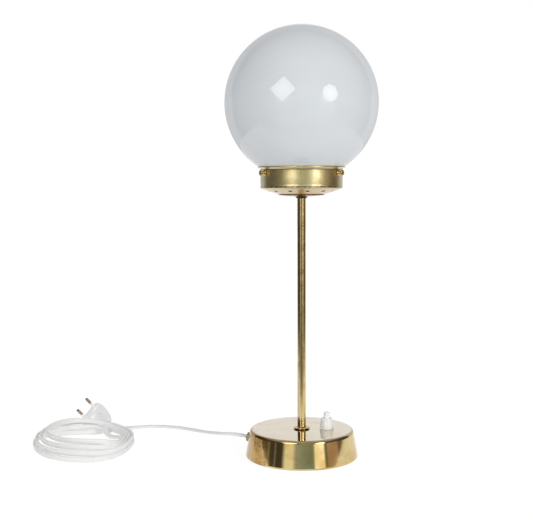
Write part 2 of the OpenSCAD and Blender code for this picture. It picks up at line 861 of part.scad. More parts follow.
module cord_clamp() {
    gap_w = flex_w / 2 + 0.4;
    gap_h = flex_t + 2 * fit;
    t = clamp_t;
    color("#9a9da1")
    difference() {
        at_clamp() translate([clamp_w / 2, 0, 0]) rotate([0, -90, 0]) linear_extrude(clamp_w)
            polygon([
                [0, -clamp_half], [0, -gap_w], [gap_h, -gap_w], [gap_h, gap_w], [0, gap_w],
                [0, clamp_half], [t, clamp_half], [t, gap_w + t], [gap_h + t, gap_w + t],
                [gap_h + t, -gap_w - t], [t, -gap_w - t], [t, -clamp_half]
            ]);
        clamp_screw_places() cylinder(r = clamp_screw_r + fit, h = base_h);
    }
}

module clamp_screws() {
    color("#8d8f92")
    clamp_screw_places() {
        translate([0, 0, weight_top - clamp_screw_deep + fit])
            cylinder(r = clamp_screw_r, h = clamp_screw_deep + clamp_t);
        translate([0, 0, weight_top + clamp_t + fit]) cylinder(r = clamp_screw_head_r, h = 1.8);
    }
}

module cord_tail() {
    color("#ededea")
    sweep([
        exit_at, gland_at, gland_at - gland_neck_l * gland_dir,
        on_line(50, flex_lie_z + 0.8), on_line(47.8, flex_lie_z), on_line(clamp_r, flex_lie_z),
        on_line(tail_end_r, flex_lie_z)
    ], flex_w / 2, flex_t / 2, run_sides, [0, 0, 1]);
}

function up_stem(y) = [
    [-hub_slot_w - 1, y, wire_lift], [-wire_y - 1.8, y, wire_lift + 1.2],
    [-wire_y / 2, y, wire_lift + 4.5], [0, y, wire_lift + 10], [0, y, stem_top - nut_h]
];

function to_terminal(side, y) = [
    [side * 1.2, y, stem_top + nut_h / 2],
    [side * (terminal_x - terminal_h / 2), y / 2, terminal_z - terminal_h / 2],
    [side * (terminal_x - 0.4), 0, terminal_z - 1.6],
    [side * terminal_x, 0, terminal_z - 0.35]
];

module wire(p) {
    sweep(p, wire_r, wire_r, wire_sides, [0.35, 0.9, 0.25]);
}

module wire_neutral() {
    color("#3f6fae")
    wire(concat(
        tail_wire(-1),
        [[-wire_part_x, 4, flex_lie_z + 0.8], [-wire_rise_x, 2.6, wire_lift - 2.5],
         [-hub_r - nut_h, 1.6, wire_lift - 0.5]],
        up_stem(wire_y), to_terminal(1, wire_y)
    ));
}

module wire_switched() {
    color("#7a4a2e")
    wire(concat(
        at_contact(-1),
        [around(wire_hub_r, -50, weight_top + 3), around(wire_inner_r, -76, weight_top + 4),
         around(wire_inner_r, -108, weight_top + 5), around(wire_inner_r, -142, wire_lift - 1),
         around(wire_inner_r, -165, wire_lift), [-hub_r, -wire_y, wire_lift]],
        up_stem(-wire_y), to_terminal(-1, -wire_y)
    ));
}

module wire_feed() {
    lie = weight_top + wire_r + 1.4;
    color("#7a4a2e")
    wire(concat(
        tail_wire(1),
        [around(wire_part_x + 1.8, 160.7, lie), around(wire_rise_x + 2.4, 145, lie)],
        [for (turn = [115, 77, 50]) around(wire_hub_r, turn, lie)],
        back(at_contact(1))
    ));
}

// ---- flex, coil and plug ----
module cord_run() {
    color("#f1f1ee") sweep(run_points, flex_w / 2, flex_t / 2, run_sides, [0, 0, 1]);
}

module coil_plan(r) {
    for (side = [0, 1]) mirror([0, side, 0])
        translate([0, coil_straight / 2]) intersection() {
            circle(r = r);
            translate([-r, 0]) square([2 * r, r]);
        }
    translate([-r, -coil_straight / 2]) square([2 * r, coil_straight]);
}

module cord_coil() {
    color("#f1f1ee")
    difference() {
        translate([coil_at[0], coil_at[1], 0]) linear_extrude(coil_h) difference() {
            coil_plan(coil_r);
            coil_plan(coil_r - coil_t);
        }
        at_plug() translate([0, 0, -plug_t - seat]) linear_extrude(plug_t + 2 * seat)
            plug_plan(seat);
    }
}

// Outline of the plug from its flat end to its tail, grown by a margin.
module plug_plan(grow) {
    half = plug_w / 2 + grow;
    corner = [plug_corner_r, plug_w / 2 - plug_corner_r];
    near = arc(corner, plug_corner_r + grow, 180, 90);
    side = concat(near, [[plug_neck_x, plug_neck_w + grow], [plug_l + grow, plug_tail_w + grow]]);
    polygon(concat(side, [for (p = back(side)) [p[0], -p[1]]]));
}

module plug_body() {
    color("#f3f4f4")
    at_plug() difference() {
        intersection() {
            translate([0, 0, -plug_t]) linear_extrude(plug_t) plug_plan(0);
            translate([0, plug_w, 0]) rotate([90, 0, 0]) linear_extrude(2 * plug_w) polygon([
                [0, -plug_t], [plug_slope_x, -plug_t], [plug_l, -plug_t + plug_tail_drop],
                [plug_l, -plug_tail_drop], [plug_slope_x, 0], [0, 0]
            ]);
        }
        intersection() {
            translate([scoop_x + scoop_r / 2, 0, -scoop_deep])
                cylinder(r = scoop_r, h = scoop_deep + over);
            translate([scoop_x, -plug_w, -plug_t]) cube([plug_l, 2 * plug_w, 2 * plug_t]);
        }
        for (side = [-1, 1])
            translate([pin_x, side * pin_pitch / 2, -pin_deep])
                cylinder(r = pin_core_r + fit, h = pin_deep + over);
    }
}

module plug_sleeves() {
    color("#f3f4f4")
    at_plug() for (side = [-1, 1])
        translate([pin_x, side * pin_pitch / 2, 0])
            ring(pin_r - 0.1, pin_core_r + fit, pin_sleeve_l);
}

module plug_pins() {
    color("#b9a58f")
    at_plug() for (side = [-1, 1])
        translate([pin_x, side * pin_pitch / 2, 0]) {
            translate([0, 0, -pin_deep]) cylinder(r = pin_core_r, h = pin_deep + pin_sleeve_l);
            translate([0, 0, pin_sleeve_l]) lathe() polygon(concat(
                [[0, 0], [pin_r, 0]],
                arc([pin_r - 1.2, pin_l - pin_sleeve_l - 1.2], 1.2, 0, 90),
                [[0, pin_l - pin_sleeve_l]]
            ));
        }
}

base_shell();
base_weight();
base_felt();
weight_washer();
weight_nut();
stem_tube();
foot_ring();
top_ring();
gallery_disc();
gallery();
gallery_nut();
screw_bosses();
glass_screw_left();
glass_screw_right();
glass_screw_back();
globe();
holder_cap();
holder_skirt();
holder_insert();
holder_terminals();
socket_shell();
centre_contact();
bulb_cap();
bulb_contact();
bulb_glass();
switch_collar();
switch_button();
switch_housing();
switch_bridge();
switch_spring();
switch_contacts();
cord_gland();
gland_nut();
cord_clamp();
clamp_screws();
cord_tail();
wire_neutral();
wire_switched();
wire_feed();
cord_run();
cord_coil();
plug_body();
plug_sleeves();
plug_pins();
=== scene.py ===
from math import acos, atan2, copysign, cos, degrees, hypot, pi, radians, sin, sqrt, tan

import bpy
import bmesh
from mathutils import Euler, Matrix, Vector


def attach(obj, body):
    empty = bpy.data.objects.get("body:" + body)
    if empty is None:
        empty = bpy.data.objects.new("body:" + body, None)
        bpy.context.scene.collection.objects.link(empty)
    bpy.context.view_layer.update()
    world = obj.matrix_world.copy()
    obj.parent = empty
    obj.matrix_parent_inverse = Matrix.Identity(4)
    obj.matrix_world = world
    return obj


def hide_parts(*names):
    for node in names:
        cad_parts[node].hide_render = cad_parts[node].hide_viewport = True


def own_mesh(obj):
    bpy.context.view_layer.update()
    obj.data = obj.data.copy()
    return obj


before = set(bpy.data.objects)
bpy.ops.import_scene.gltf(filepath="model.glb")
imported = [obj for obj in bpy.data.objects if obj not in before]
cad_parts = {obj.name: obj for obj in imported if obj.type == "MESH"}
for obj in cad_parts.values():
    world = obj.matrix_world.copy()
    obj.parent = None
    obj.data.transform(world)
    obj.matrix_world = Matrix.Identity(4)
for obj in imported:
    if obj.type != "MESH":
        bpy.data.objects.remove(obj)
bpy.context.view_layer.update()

# ------------ camera
# A long lens 1.16 m in front of the lamp, just below the gallery's height.
# It looks four degrees down and two degrees to the cord's side.
scene = bpy.context.scene
camera = bpy.data.objects.new("camera", bpy.data.cameras.new("camera"))
scene.collection.objects.link(camera)
camera.location = (0, -1.1567, 0.3226)
camera.rotation_euler = (radians(90 - 4.287), radians(0.196), radians(2.038))
camera.data.lens = 66.18
camera.data.sensor_width = 36
scene.camera = camera
scene.view_settings.view_transform = "Standard"

# ------------ flex
# Flat two-core lamp flex, 6.6 mm wide and 3.7 mm thick, with fine ribs along it.
# Extruded white PVC. It lies flat from the foot to the coil and stands on edge in the coil.
MM = 0.001
FLEX_HALF_WIDTH, FLEX_HALF_THICK = 3.3, 1.85
RIB_PITCH, RIB_DEPTH = 1.25, 0.13
EXIT = (-66.21, 12.27, 20.18)

flex_run = [
    EXIT, (-72.99, 13.53, 21.37), (-84, 15.5, 22.3), (-93.5, 21.5, 21), (-101.5, 30, 19.2),
    (-109, 41, 17), (-115.5, 53, 14.4), (-121.5, 65, 11.9), (-128, 77.5, 9.5), (-135.5, 90, 7.4),
    (-144, 102, 5.6), (-154, 113, 4.2), (-166.5, 123, 3.1), (-180, 129.5, 2.3), (-193.5, 132.5, 2),
    (-207, 131, 1.95), (-220, 126.5, 2.1), (-232, 119, 2.6), (-241.5, 110.5, 3.6),
    (-248.8, 102.3, 4.6),
]
# The coil's turns: where each passes its back, left, front and right.
flex_turns = [
    (-272, 92.5, 3.4), (-336, 60, 3.9), (-258, -36, 3.4), (-211.5, 42, 3.6),
    (-272, 97, 9.8), (-332.5, 54, 9.6), (-254, -32.4, 9.9), (-212, 40, 10),
    (-284, 105, 15.2), (-325, 45, 15.2), (-249, -28.6, 16.4), (-215.8, 34, 10.8),
    (-288, 97, 18.4), (-317, 38, 21.4), (-240, -24.6, 22.2), (-219.6, 26, 13),
]
# How far each turn sinks inside the one below it, between its left and its front.
flex_sinks = [0, 0.6, 1, 0.8]
flex_tail = [
    (-219.4, 40, 10.5), (-223.5, 52.5, 7.5), (-232.5, 62, 5.2), (-243.5, 68.5, 4.4),
    (-251, 76.5, 7.2), (-254.4, 86, 13), (-254.4, 95.5, 16.4), (-253.3, 105.3, 13.6),
]


def smooth_line(points, steps):
    """More points on one smooth curve through the given ones."""
    line = []
    for i in range(len(points) - 1):
        a, b = Vector(points[i]), Vector(points[i + 1])
        before = Vector(points[i - 1]) if i else a
        after = Vector(points[i + 2]) if i + 2 < len(points) else b
        leave, arrive = (b - before) / 2, (after - a) / 2
        for s in range(steps):
            t = s / steps
            line.append(a * (2 * t**3 - 3 * t**2 + 1) + leave * (t**3 - 2 * t**2 + t)
                        + b * (3 * t**2 - 2 * t**3) + arrive * (t**3 - t**2))
    line.append(Vector(points[-1]))
    return line


def quarter_turn(a, b, sideways_first, steps, fullness, late, sinks):
    """A quarter of an oval between two marks of the coil. A fullness of 1 is an ellipse, less is
    squarer. A late of 1 rises evenly, more rises near the end. Its middle drops by sinks."""
    line = []
    for s in range(steps):
        t = s / steps * pi / 2
        rise = ((1 - cos(2 * t)) / 2) ** late
        out, back = sin(t) ** fullness, cos(t) ** fullness
        if sideways_first:
            x, y = a[0] + (b[0] - a[0]) * out, b[1] + (a[1] - b[1]) * back
        else:
            x, y = b[0] + (a[0] - b[0]) * back, a[1] + (b[1] - a[1]) * out
        z = a[2] + (b[2] - a[2]) * rise - sinks * sin(2 * t) ** 2
        line.append(Vector((x, y, z)))
    return line


run_line = smooth_line(flex_run + [flex_turns[0]], 4)[:-1]
coil_line = []
for i in range(len(flex_turns) - 1):
    coil_line += quarter_turn(flex_turns[i], flex_turns[i + 1], i % 2 == 0, 18,
                              fullness=0.82 if i % 4 == 2 else 1.0,
                              late=2.2 if i % 4 == 3 else 1.0,
                              sinks=flex_sinks[i // 4] if i % 4 == 1 else 0)
flex_line = run_line + coil_line + smooth_line([flex_turns[-1]] + flex_tail, 6)

flex_length = [0.0]
for a, b in zip(flex_line, flex_line[1:]):
    flex_length.append(flex_length[-1] + (b - a).length)


def ease(value, start, end):
    """Goes smoothly from 0 to 1 while the value goes from start to end."""
    t = min(max((value - start) / (end - start), 0), 1)
    return t * t * (3 - 2 * t)


def signed_power(value, exponent):
    """A power that keeps the value's sign, so an exponent below 1 squares a circle's corners."""
    return copysign(abs(value) ** exponent, value)


# Round the flex's section, with a groove between each two ribs.
SECTION_POINTS = 56
flex_section = []
for i in range(SECTION_POINTS):
    turn = 2 * pi * i / SECTION_POINTS
    wide = FLEX_HALF_WIDTH * cos(turn)
    groove = RIB_DEPTH * (0.5 - 0.5 * cos(2 * pi * wide / RIB_PITCH))
    thick = FLEX_HALF_THICK * signed_power(sin(turn), 0.55) - groove * sin(turn)
    flex_section.append((wide, thick))
# Its wide axis lies level, stands up in the coil, leans back in the tail and turns with the plug.
STANDS_UP, LEANS_BACK, TURNS_IN = radians(84), radians(70), radians(30)
coil_start, tail_start = flex_length[len(run_line)], flex_length[len(run_line + coil_line)]
flex_points = []
for i, p in enumerate(flex_line):
    along = (flex_line[min(i + 1, len(flex_line) - 1)] - flex_line[max(i - 1, 0)]).normalized()
    level = along.cross(Vector((0, 0, 1))).normalized()
    upward = level.cross(along)
    s = flex_length[i]
    turned = (STANDS_UP * ease(s, coil_start - 75, coil_start + 10)
              - LEANS_BACK * ease(s, tail_start - 15, tail_start + 45)
              + TURNS_IN * ease(s, flex_length[-1] - 22, flex_length[-1]))
    wide_way = level * cos(turned) + upward * sin(turned)
    thick_way = wide_way.cross(along)
    flex_points += [(p + wide_way * wide + thick_way * thick) * MM for wide, thick in flex_section]


def ring_faces(a, b, around):
    """Faces from one ring of points to another. The rings' first points are a and b."""
    return [(a + k, a + (k + 1) % around, b + (k + 1) % around, b + k) for k in range(around)]


def tube_faces(points, around):
    """Faces over rings of points, with so many points around each, and one across each end."""
    last = len(points) - around
    faces = [tuple(range(around)), tuple(range(last, len(points)))]
    for i in range(0, last, around):
        faces += ring_faces(i, i + around, around)
    return faces


def make_piece(name, points, faces, sharp=35):
    """A smooth piece from points in metres, with its faces turned outwards."""
    mesh = bpy.data.meshes.new(name)
    mesh.from_pydata(points, [], faces)
    work = bmesh.new()
    work.from_mesh(mesh)
    bmesh.ops.remove_doubles(work, verts=work.verts, dist=1e-7)
    bmesh.ops.recalc_face_normals(work, faces=work.faces)
    work.to_mesh(mesh)
    work.free()
    mesh.shade_smooth()
    mesh.set_sharp_from_angle(angle=radians(sharp))
    piece = bpy.data.objects.new(name, mesh)
    scene.collection.objects.link(piece)
    return piece


flex = make_piece("flex", flex_points, tube_faces(flex_points, SECTION_POINTS))


def colour(sheet_value):
    """A colour written as #rrggbb, turned from sRGB to linear light."""
    parts = [int(sheet_value[i:i + 2], 16) / 255 for i in (1, 3, 5)]
    return (*[p / 12.92 if p <= 0.04045 else ((p + 0.055) / 1.055) ** 2.4 for p in parts], 1)


def add(tree, kind, inputs=None, **settings):
    """Adds a shader node with its settings, and what goes into its sockets: a value or another
    node's socket. Gives the node's first socket out."""
    node = tree.nodes.new("ShaderNode" + kind)
    for name, value in settings.items():
        setattr(node, name, value)
    for name, value in (inputs or {}).items():
        if isinstance(value, bpy.types.NodeSocket):
            tree.links.new(value, node.inputs[name])
        else:
            node.inputs[name].default_value = value
    return next(socket for socket in node.outputs if socket.enabled)


def connect(node, **sockets):
    """Links sockets of other nodes into the node's own, which go by their names."""
    for name, socket in sockets.items():
        node.id_data.links.new(socket, node.inputs[name.replace("_", " ")])


def start_material(name, **values):
    """A new material with its shader's steady values, and the piece's own coordinates in metres."""
    material = bpy.data.materials.new(name)
    material.use_nodes = True
    tree = material.node_tree
    shader = tree.nodes["Principled BSDF"]
    for socket, value in values.items():
        shader.inputs[socket.replace("_", " ")].default_value = value
    return material, tree, shader, add(tree, "TexCoord").node.outputs["Object"]


def two_tones(shader, size, tone, other, **noise):
    """Clouds of two colours over a material. Gives the noise that mixes them, of a size in mm."""
    tree = shader.id_data
    place = add(tree, "TexCoord").node.outputs["Object"]
    clouds = add(tree, "TexNoise", {"Vector": place, "Scale": 1 / (size * MM), **noise})
    connect(shader, Base_Color=add(tree, "Mix", {"Factor": clouds, "A": colour(tone),
                                                 "B": colour(other)}, data_type="RGBA"))
    return clouds


# Extruded PVC: a soft sheen, with handling marks a few centimetres long that dull it unevenly.
# The die's fine grain is drawn 0.9 mm wide, as coarse as it needs to show.
pvc_flex, tree, shader, place = start_material("pvc_flex_extruded", Roughness=0.55, IOR=1.53,
                                               Sheen_Weight=0.3)
two_tones(shader, 28, "#f6f6f6", "#ececea", Detail=3.0)
grain = add(tree, "TexNoise", {"Vector": place, "Scale": 1 / (0.9 * MM), "Detail": 2.0})
connect(shader, Normal=add(tree, "Bump", {"Height": grain, "Strength": 0.12,
                                          "Distance": 0.05 * MM}))

flex.data.materials.append(pvc_flex)
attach(flex, "lamp")
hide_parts("cord_run", "cord_coil")

# ------------ plug
# Flat two-pin plug, moulded in white PVC onto the flex, wide at the pins and narrow at its tail.
# A step and a thumb recess cross its back. The nickelled pins are insulated for half their length.
PLUG_THICK = 11.5
STEP_DEPTH, RECESS_DEPTH = 1.1, 5.0
RECESS_AT, RECESS_HALF = (22.5, -3.2), (8.6, 7.6)
plug_place = (Matrix.Translation((-288, 132.5, 22.3))
              @ Euler([radians(a) for a in (45.5, 6, -43.5)]).to_matrix().to_4x4())
# Along the plug: distance from the pin end, half width, how far the top and the underside drop in.
plug_shape = [
    (0, 13.6, 2.2, 2.2), (0.25, 14.9, 1.3, 1.3), (0.9, 16.1, 0.6, 0.6), (2, 16.9, 0.2, 0.2),
    (4, 17.6, 0, 0), (8, 17.8, 0, 0), (12, 17.5, 0, 0), (17, 16.5, 0, 0), (22, 14.9, 0, 0.1),
    (28, 13, 0.2, 0.4), (33, 11.2, 0.7, 0.9), (38, 8.6, 1.3, 1.5), (42, 6.1, 1.8, 2),
    (43.6, 4.9, 2.2, 2.4), (44.3, 4, 2.9, 3), (44.6, 3, 3.6, 3.6),
]


def plug_row(distance):
    """The plug's half width and its two drops at a distance, read smoothly from the table."""
    for a, b in zip(plug_shape, plug_shape[1:]):
        if distance <= b[0]:
            t = (distance - a[0]) / (b[0] - a[0])
            if 2 < a[0] < 42:
                t = t * 0.6 + 0.4 * t * t * (3 - 2 * t)
            return [a[k] + (b[k] - a[k]) * t for k in (1, 2, 3)]
    return plug_shape[-1][1:]


PLUG_POINTS = 96
plug_steps = sorted(set([round(0.6 * i, 2) for i in range(4, 72)]
                        + [0, 0.12, 0.25, 0.5, 0.9, 1.4, 2, 43.2, 43.6, 44, 44.3, 44.5, 44.6]))
plug_points = []
for distance in plug_steps:
    half, top_drop, under_drop = plug_row(distance)
    top, under = -top_drop, -PLUG_THICK + under_drop
    for k in range(PLUG_POINTS):
        c, s = [f(2 * pi * k / PLUG_POINTS) for f in (cos, sin)]
        y = half * signed_power(c, 0.8)
        z = (top + under) / 2 + (top - under) / 2 * signed_power(s, 0.42)
        if s > 0:
            z -= STEP_DEPTH * ease(distance + 0.28 * y, 10.5, 13) * (1 - ease(distance, 30, 42))
            from_middle = hypot((distance - RECESS_AT[0]) / RECESS_HALF[0],
                                (y - RECESS_AT[1]) / RECESS_HALF[1])
            z -= RECESS_DEPTH * (1 - ease(from_middle, 0.74, 1.0)) * s
        plug_points.append(plug_place @ Vector((distance, y, z)) * MM)
plug = make_piece("plug", plug_points, tube_faces(plug_points, PLUG_POINTS), 50)

# Moulded PVC: satin, slightly blue against the flex. The mould's fine spark-eroded texture is drawn
# 0.5 mm wide, as coarse as it needs to show.
pvc_plug, tree, shader, place = start_material("pvc_plug_moulded", Roughness=0.5, IOR=1.53,
                                               Sheen_Weight=0.2)
two_tones(shader, 12, "#fefefe", "#f9fafc", Detail=2.0)
erosion = add(tree, "TexNoise", {"Vector": place, "Scale": 1 / (0.5 * MM), "Detail": 2.0})
connect(shader, Normal=add(tree, "Bump", {"Height": erosion, "Strength": 0.15,
                                          "Distance": 0.04 * MM}))

# Nickel on brass: bright and warm, worn where the socket's springs grip the pins.
nickel_pin, tree, shader, _ = start_material("nickel_pin_turned", Metallic=1.0)
wear = two_tones(shader, 1.6, "#c9b6a6", "#8e7c70", Detail=4.0)
connect(shader, Roughness=add(tree, "MapRange", {"Value": wear, "To Min": 0.04, "To Max": 0.14}))

plug.data.materials.append(pvc_plug)
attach(plug, "lamp")
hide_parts("plug_body")


def finish_nodes(material, *names):
    """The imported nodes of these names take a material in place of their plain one."""
    for name in names:
        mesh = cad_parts[name].data
        if not mesh.materials:
            mesh.materials.append(material)
        for i in range(len(mesh.materials)):
            mesh.materials[i] = material


finish_nodes(nickel_pin, "plug_pins")
finish_nodes(pvc_plug, "plug_sleeves")

# ------------ weight and felt
# A sand-cast iron disc fills the bottom of the foot and carries the stem.
# A disc of pressed wool felt is glued under it and keeps the lamp off the table.
# Cast iron: dark, rough from the sand, with pits a millimetre wide.
iron_cast, tree, shader, place = start_material("iron_sand_cast", Metallic=0.6, Roughness=0.72)
sand = add(tree, "TexVoronoi", {"Vector": place, "Scale": 1 / (1.1 * MM)})
two_tones(shader, 9, "#4a4846", "#2e2a28", Detail=4.0)
connect(shader, Normal=add(tree, "Bump", {"Height": sand, "Strength": 0.6, "Distance": 0.4 * MM}))
finish_nodes(iron_cast, "base_weight")

# Pressed wool felt: no gloss at all, matted fibres that catch the light. They are drawn 0.7 mm
# wide, as coarse as they need to show.
wool_felt, tree, shader, _ = start_material("wool_felt_pressed", Roughness=0.95,
                                            Sheen_Weight=0.35)
fibres = two_tones(shader, 0.7, "#2c3a2b", "#4a5a44", Detail=6.0, Distortion=1.5)
connect(shader, Normal=add(tree, "Bump", {"Height": fibres, "Strength": 0.8,
                                          "Distance": 0.3 * MM}))
finish_nodes(wool_felt, "base_felt")

# ------------ foot shell
# One sheet of 0.9 mm brass, spun over a former: flat top, round shoulder, side leaning in ten
# degrees, edge rolled in to grip the weight. Polished and lacquered; old, so tarnished in patches.
# It is drawn without the holes that the switch's cone and the cable entry hide.
FOOT_R, FOOT_HEIGHT = 66.9, 33.6
FOOT_LIFT, FOOT_EDGE_R = 0.8, 62.9
FOOT_WALL, FOOT_BEAD, FOOT_SHOULDER = 0.9, 1.8, 4.0
FOOT_LEAN = 9.8
STEM_HOLE_R = 5.05


def arc(centre, radius, start, end, steps=14):
    """Points on an arc in a half section, in millimetres and degrees."""
    turns = [radians(start + (end - start) * i / steps) for i in range(steps + 1)]
    return [(centre[0] + radius * cos(a), centre[1] + radius * sin(a)) for a in turns]


def sweep_round(outline, turns, start=0.0, first=0, closed=True):
    """A half section, in millimetres, swept round the z axis: points in metres, and faces whose
    points are counted from first."""
    points, faces, rings = [], [], []
    for r, z in outline:
        count = 1 if r < 1e-6 else turns
        rings.append([first + len(points) + i for i in range(count)] * (turns // count))
        for i in range(count):
            a = start + 2 * pi * i / turns
            points.append(Vector((r * cos(a), r * sin(a), z)) * MM)
    for low, high in zip(rings, rings[1:] + (rings[:1] if closed else [])):
        for i in range(turns):
            j = (i + 1) % turns
            face = tuple(dict.fromkeys((low[i], low[j], high[j], high[i])))
            if len(face) > 2:
                faces.append(face)
    return points, faces


def lathe(name, outline, turns=256, place=Matrix(), sharp=35):
    """A turned or spun piece: the half section swept round its axis, and put in its place."""
    points, faces = sweep_round(outline, turns)
    return make_piece(name, [place @ p for p in points], faces, sharp)


lean = radians(FOOT_LEAN)
bead = (FOOT_R - FOOT_BEAD, FOOT_LIFT + FOOT_BEAD)
reach = bead[0] * cos(lean) + bead[1] * sin(lean) + FOOT_BEAD - FOOT_SHOULDER
shoulder_z = FOOT_HEIGHT - FOOT_SHOULDER
shoulder = ((reach - shoulder_z * sin(lean)) / cos(lean), shoulder_z)
low, high = arc(bead, FOOT_BEAD, FOOT_LEAN, 0)[0], arc(shoulder, FOOT_SHOULDER, FOOT_LEAN, 90)[0]
wall = [(low[0] + (high[0] - low[0]) * t, low[1] + (high[1] - low[1]) * t)
        for t in (0.01, 0.03, 0.3, 0.6, 0.97, 0.99)]
foot = lathe("foot_shell", [(FOOT_EDGE_R, FOOT_LIFT)] + arc(bead, FOOT_BEAD, -90, FOOT_LEAN) + wall
             + arc(shoulder, FOOT_SHOULDER, FOOT_LEAN, 90, 20)
             + [(r, FOOT_HEIGHT) for r in (50, 30, 12, STEM_HOLE_R)]
             + [(STEM_HOLE_R, FOOT_HEIGHT - FOOT_WALL)]
             + arc(shoulder, FOOT_SHOULDER - FOOT_WALL, 90, FOOT_LEAN)
             + arc(bead, FOOT_BEAD - FOOT_WALL, FOOT_LEAN, -90)
             + [(FOOT_EDGE_R, FOOT_LIFT + FOOT_WALL)], turns=360)

# Spun brass, polished and lacquered: mirror-like, browner towards the cable with spots where the
# lacquer has failed, and the sheet's slow waves in its reflections. Its top is painted paler: a
# painted reflection of the white backdrop. The fine spinning rings are drawn about 3 mm apart, as
# coarse as they need to show.
brass_foot, tree, shader, place = start_material("brass_foot_spun", Metallic=1.0)
spot = add(tree, "SeparateXYZ", {"Vector": place}).node.outputs
on_top = add(tree, "MapRange", {"Value": spot["Z"], "From Min": 32.6 * MM, "From Max": 33.5 * MM},
             interpolation_type="SMOOTHSTEP")
patches = add(tree, "TexNoise", {"Vector": place, "Scale": 1 / (24 * MM), "Detail": 4.0,
                                 "Roughness": 0.55})
patch = add(tree, "MapRange", {"Value": patches, "From Min": 0.42, "From Max": 0.68})
cable_side = add(tree, "MapRange", {"Value": spot["X"], "From Min": -36 * MM,
                                    "From Max": -50 * MM}, interpolation_type="SMOOTHSTEP")
uneven = add(tree, "MapRange", {"Value": patches, "From Min": 0.3, "From Max": 0.55,
                                "To Min": 0.45})
handled = add(tree, "Math", {0: cable_side, 1: uneven}, operation="MULTIPLY")
polish = add(tree, "Mix", {"Factor": patch, "A": colour("#dec98f"), "B": colour("#cbac6c")},
             data_type="RGBA")
side_tint = add(tree, "Mix", {"Factor": handled, "A": polish, "B": colour("#b3873f")},
                data_type="RGBA")
# Painted reflection: the flat top gets a pale, greyish brass that stands in for the white backdrop
# it mirrors.
top_painted_reflection = add(tree, "Mix", {"Factor": patch, "A": colour("#d8cfba"), "B": colour("#d6c4ab")},
               data_type="RGBA")
base = add(tree, "Mix", {"Factor": on_top, "A": side_tint, "B": top_painted_reflection}, data_type="RGBA")
specks = add(tree, "TexNoise", {"Vector": place, "Scale": 1 / (2.2 * MM), "Detail": 1.0})
where = add(tree, "TexNoise", {"Vector": place, "Scale": 1 / (17 * MM), "Detail": 1.0})
many = add(tree, "Math", {0: specks, 1: where}, operation="ADD")
speck = add(tree, "MapRange", {"Value": many, "From Min": 1.2, "From Max": 1.27})
failed = add(tree, "Math", {0: speck, 1: cable_side}, operation="MULTIPLY")
spotted = add(tree, "Mix", {"Factor": failed, "A": base, "B": colour("#7a5230")}, data_type="RGBA")
dull = add(tree, "MapRange", {"Value": patches, "From Min": 0.35, "From Max": 0.75,
                              "To Min": 0.05, "To Max": 0.13})
lacquer = add(tree, "MapRange", {"Value": on_top, "To Min": 0.35, "To Max": 0.0})
waves = add(tree, "TexNoise", {"Vector": place, "Scale": 1 / (26 * MM), "Detail": 1.5})
sheet_waves = add(tree, "Bump", {"Height": waves, "Strength": 1.0, "Distance": 0.12 * MM})
rings = add(tree, "TexWave", {"Vector": place, "Scale": 1 / (9 * MM), "Distortion": 0.4},
            wave_type="RINGS", rings_direction="Z").node.outputs["Fac"]
ring_marks = add(tree, "Bump", {"Height": rings, "Strength": 0.25, "Distance": 0.012 * MM,
                                "Normal": sheet_waves})
connect(shader, Base_Color=spotted, Roughness=dull, Coat_Weight=lacquer, Normal=ring_marks)
foot.data.materials.append(brass_foot)
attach(foot, "lamp")
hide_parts("base_shell")

# ------------ stem
# A 10 mm brass tube, drawn, polished once and never lacquered. A small flared ring covers its hole;
# a blackened one ends it above. Its hidden lower end, with the wires' hole, is left out.
STEM_R, STEM_BORE = 5.0, 4.2
STEM_FROM, STEM_TO = 30, 326.4
stem = lathe("stem", [(STEM_BORE, STEM_FROM), (STEM_R, STEM_FROM)]
             + [(STEM_R, STEM_FROM + (STEM_TO - STEM_FROM) * i / 12) for i in range(1, 12)]
             + [(STEM_R, STEM_TO), (STEM_R - 0.4, STEM_TO + 0.4), (STEM_BORE, STEM_TO + 0.4)],
             turns=96)
# Drawn brass tube: fine lines along it, brown tarnish in small clouds, brighter near the foot. The
# lines are drawn 1.1 mm apart, as coarse as they need to show.
brass_stem, tree, shader, place = start_material("brass_stem_drawn", Metallic=1.0)
stretched = add(tree, "Mapping", {"Vector": place, "Scale": (1.0, 1.0, 0.06)})
lines = add(tree, "TexNoise", {"Vector": stretched, "Scale": 1 / (1.1 * MM), "Detail": 3.0})
clouds = add(tree, "TexNoise", {"Vector": place, "Scale": 1 / (7 * MM), "Detail": 3.0,
                                "Roughness": 0.5})
height = add(tree, "SeparateXYZ", {"Vector": place}).node.outputs["Z"]
old = add(tree, "MapRange", {"Value": height, "From Min": 45 * MM, "From Max": 130 * MM,
                             "To Min": -0.22, "To Max": 0.05})
brown = add(tree, "Math", {0: clouds, 1: old}, operation="ADD")
tarnish = add(tree, "MapRange", {"Value": brown, "From Min": 0.3, "From Max": 0.75})
drawn = add(tree, "Mix", {"Factor": lines, "A": colour("#e8d49e"), "B": colour("#d2b67c")},
            data_type="RGBA")
tint = add(tree, "Mix", {"Factor": tarnish, "A": drawn, "B": colour("#b59a6c")}, data_type="RGBA")
rough = add(tree, "MapRange", {"Value": tarnish, "To Min": 0.16, "To Max": 0.22})
draw_marks = add(tree, "Bump", {"Height": lines, "Strength": 0.08, "Distance": 0.008 * MM})
connect(shader, Base_Color=tint, Roughness=rough, Normal=draw_marks)
stem.data.materials.append(brass_stem)
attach(stem, "lamp")
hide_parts("stem_tube")

# Turned brass, polished bright: a deep gold mirror, duller and browner in small clouds.
brass_turned, tree, shader, _ = start_material("brass_turned_polished", Metallic=1.0)
hue = two_tones(shader, 3, "#e0c588", "#bd9c5e", Detail=4.0)
connect(shader, Roughness=add(tree, "MapRange", {"Value": hue, "To Min": 0.08, "To Max": 0.26}))

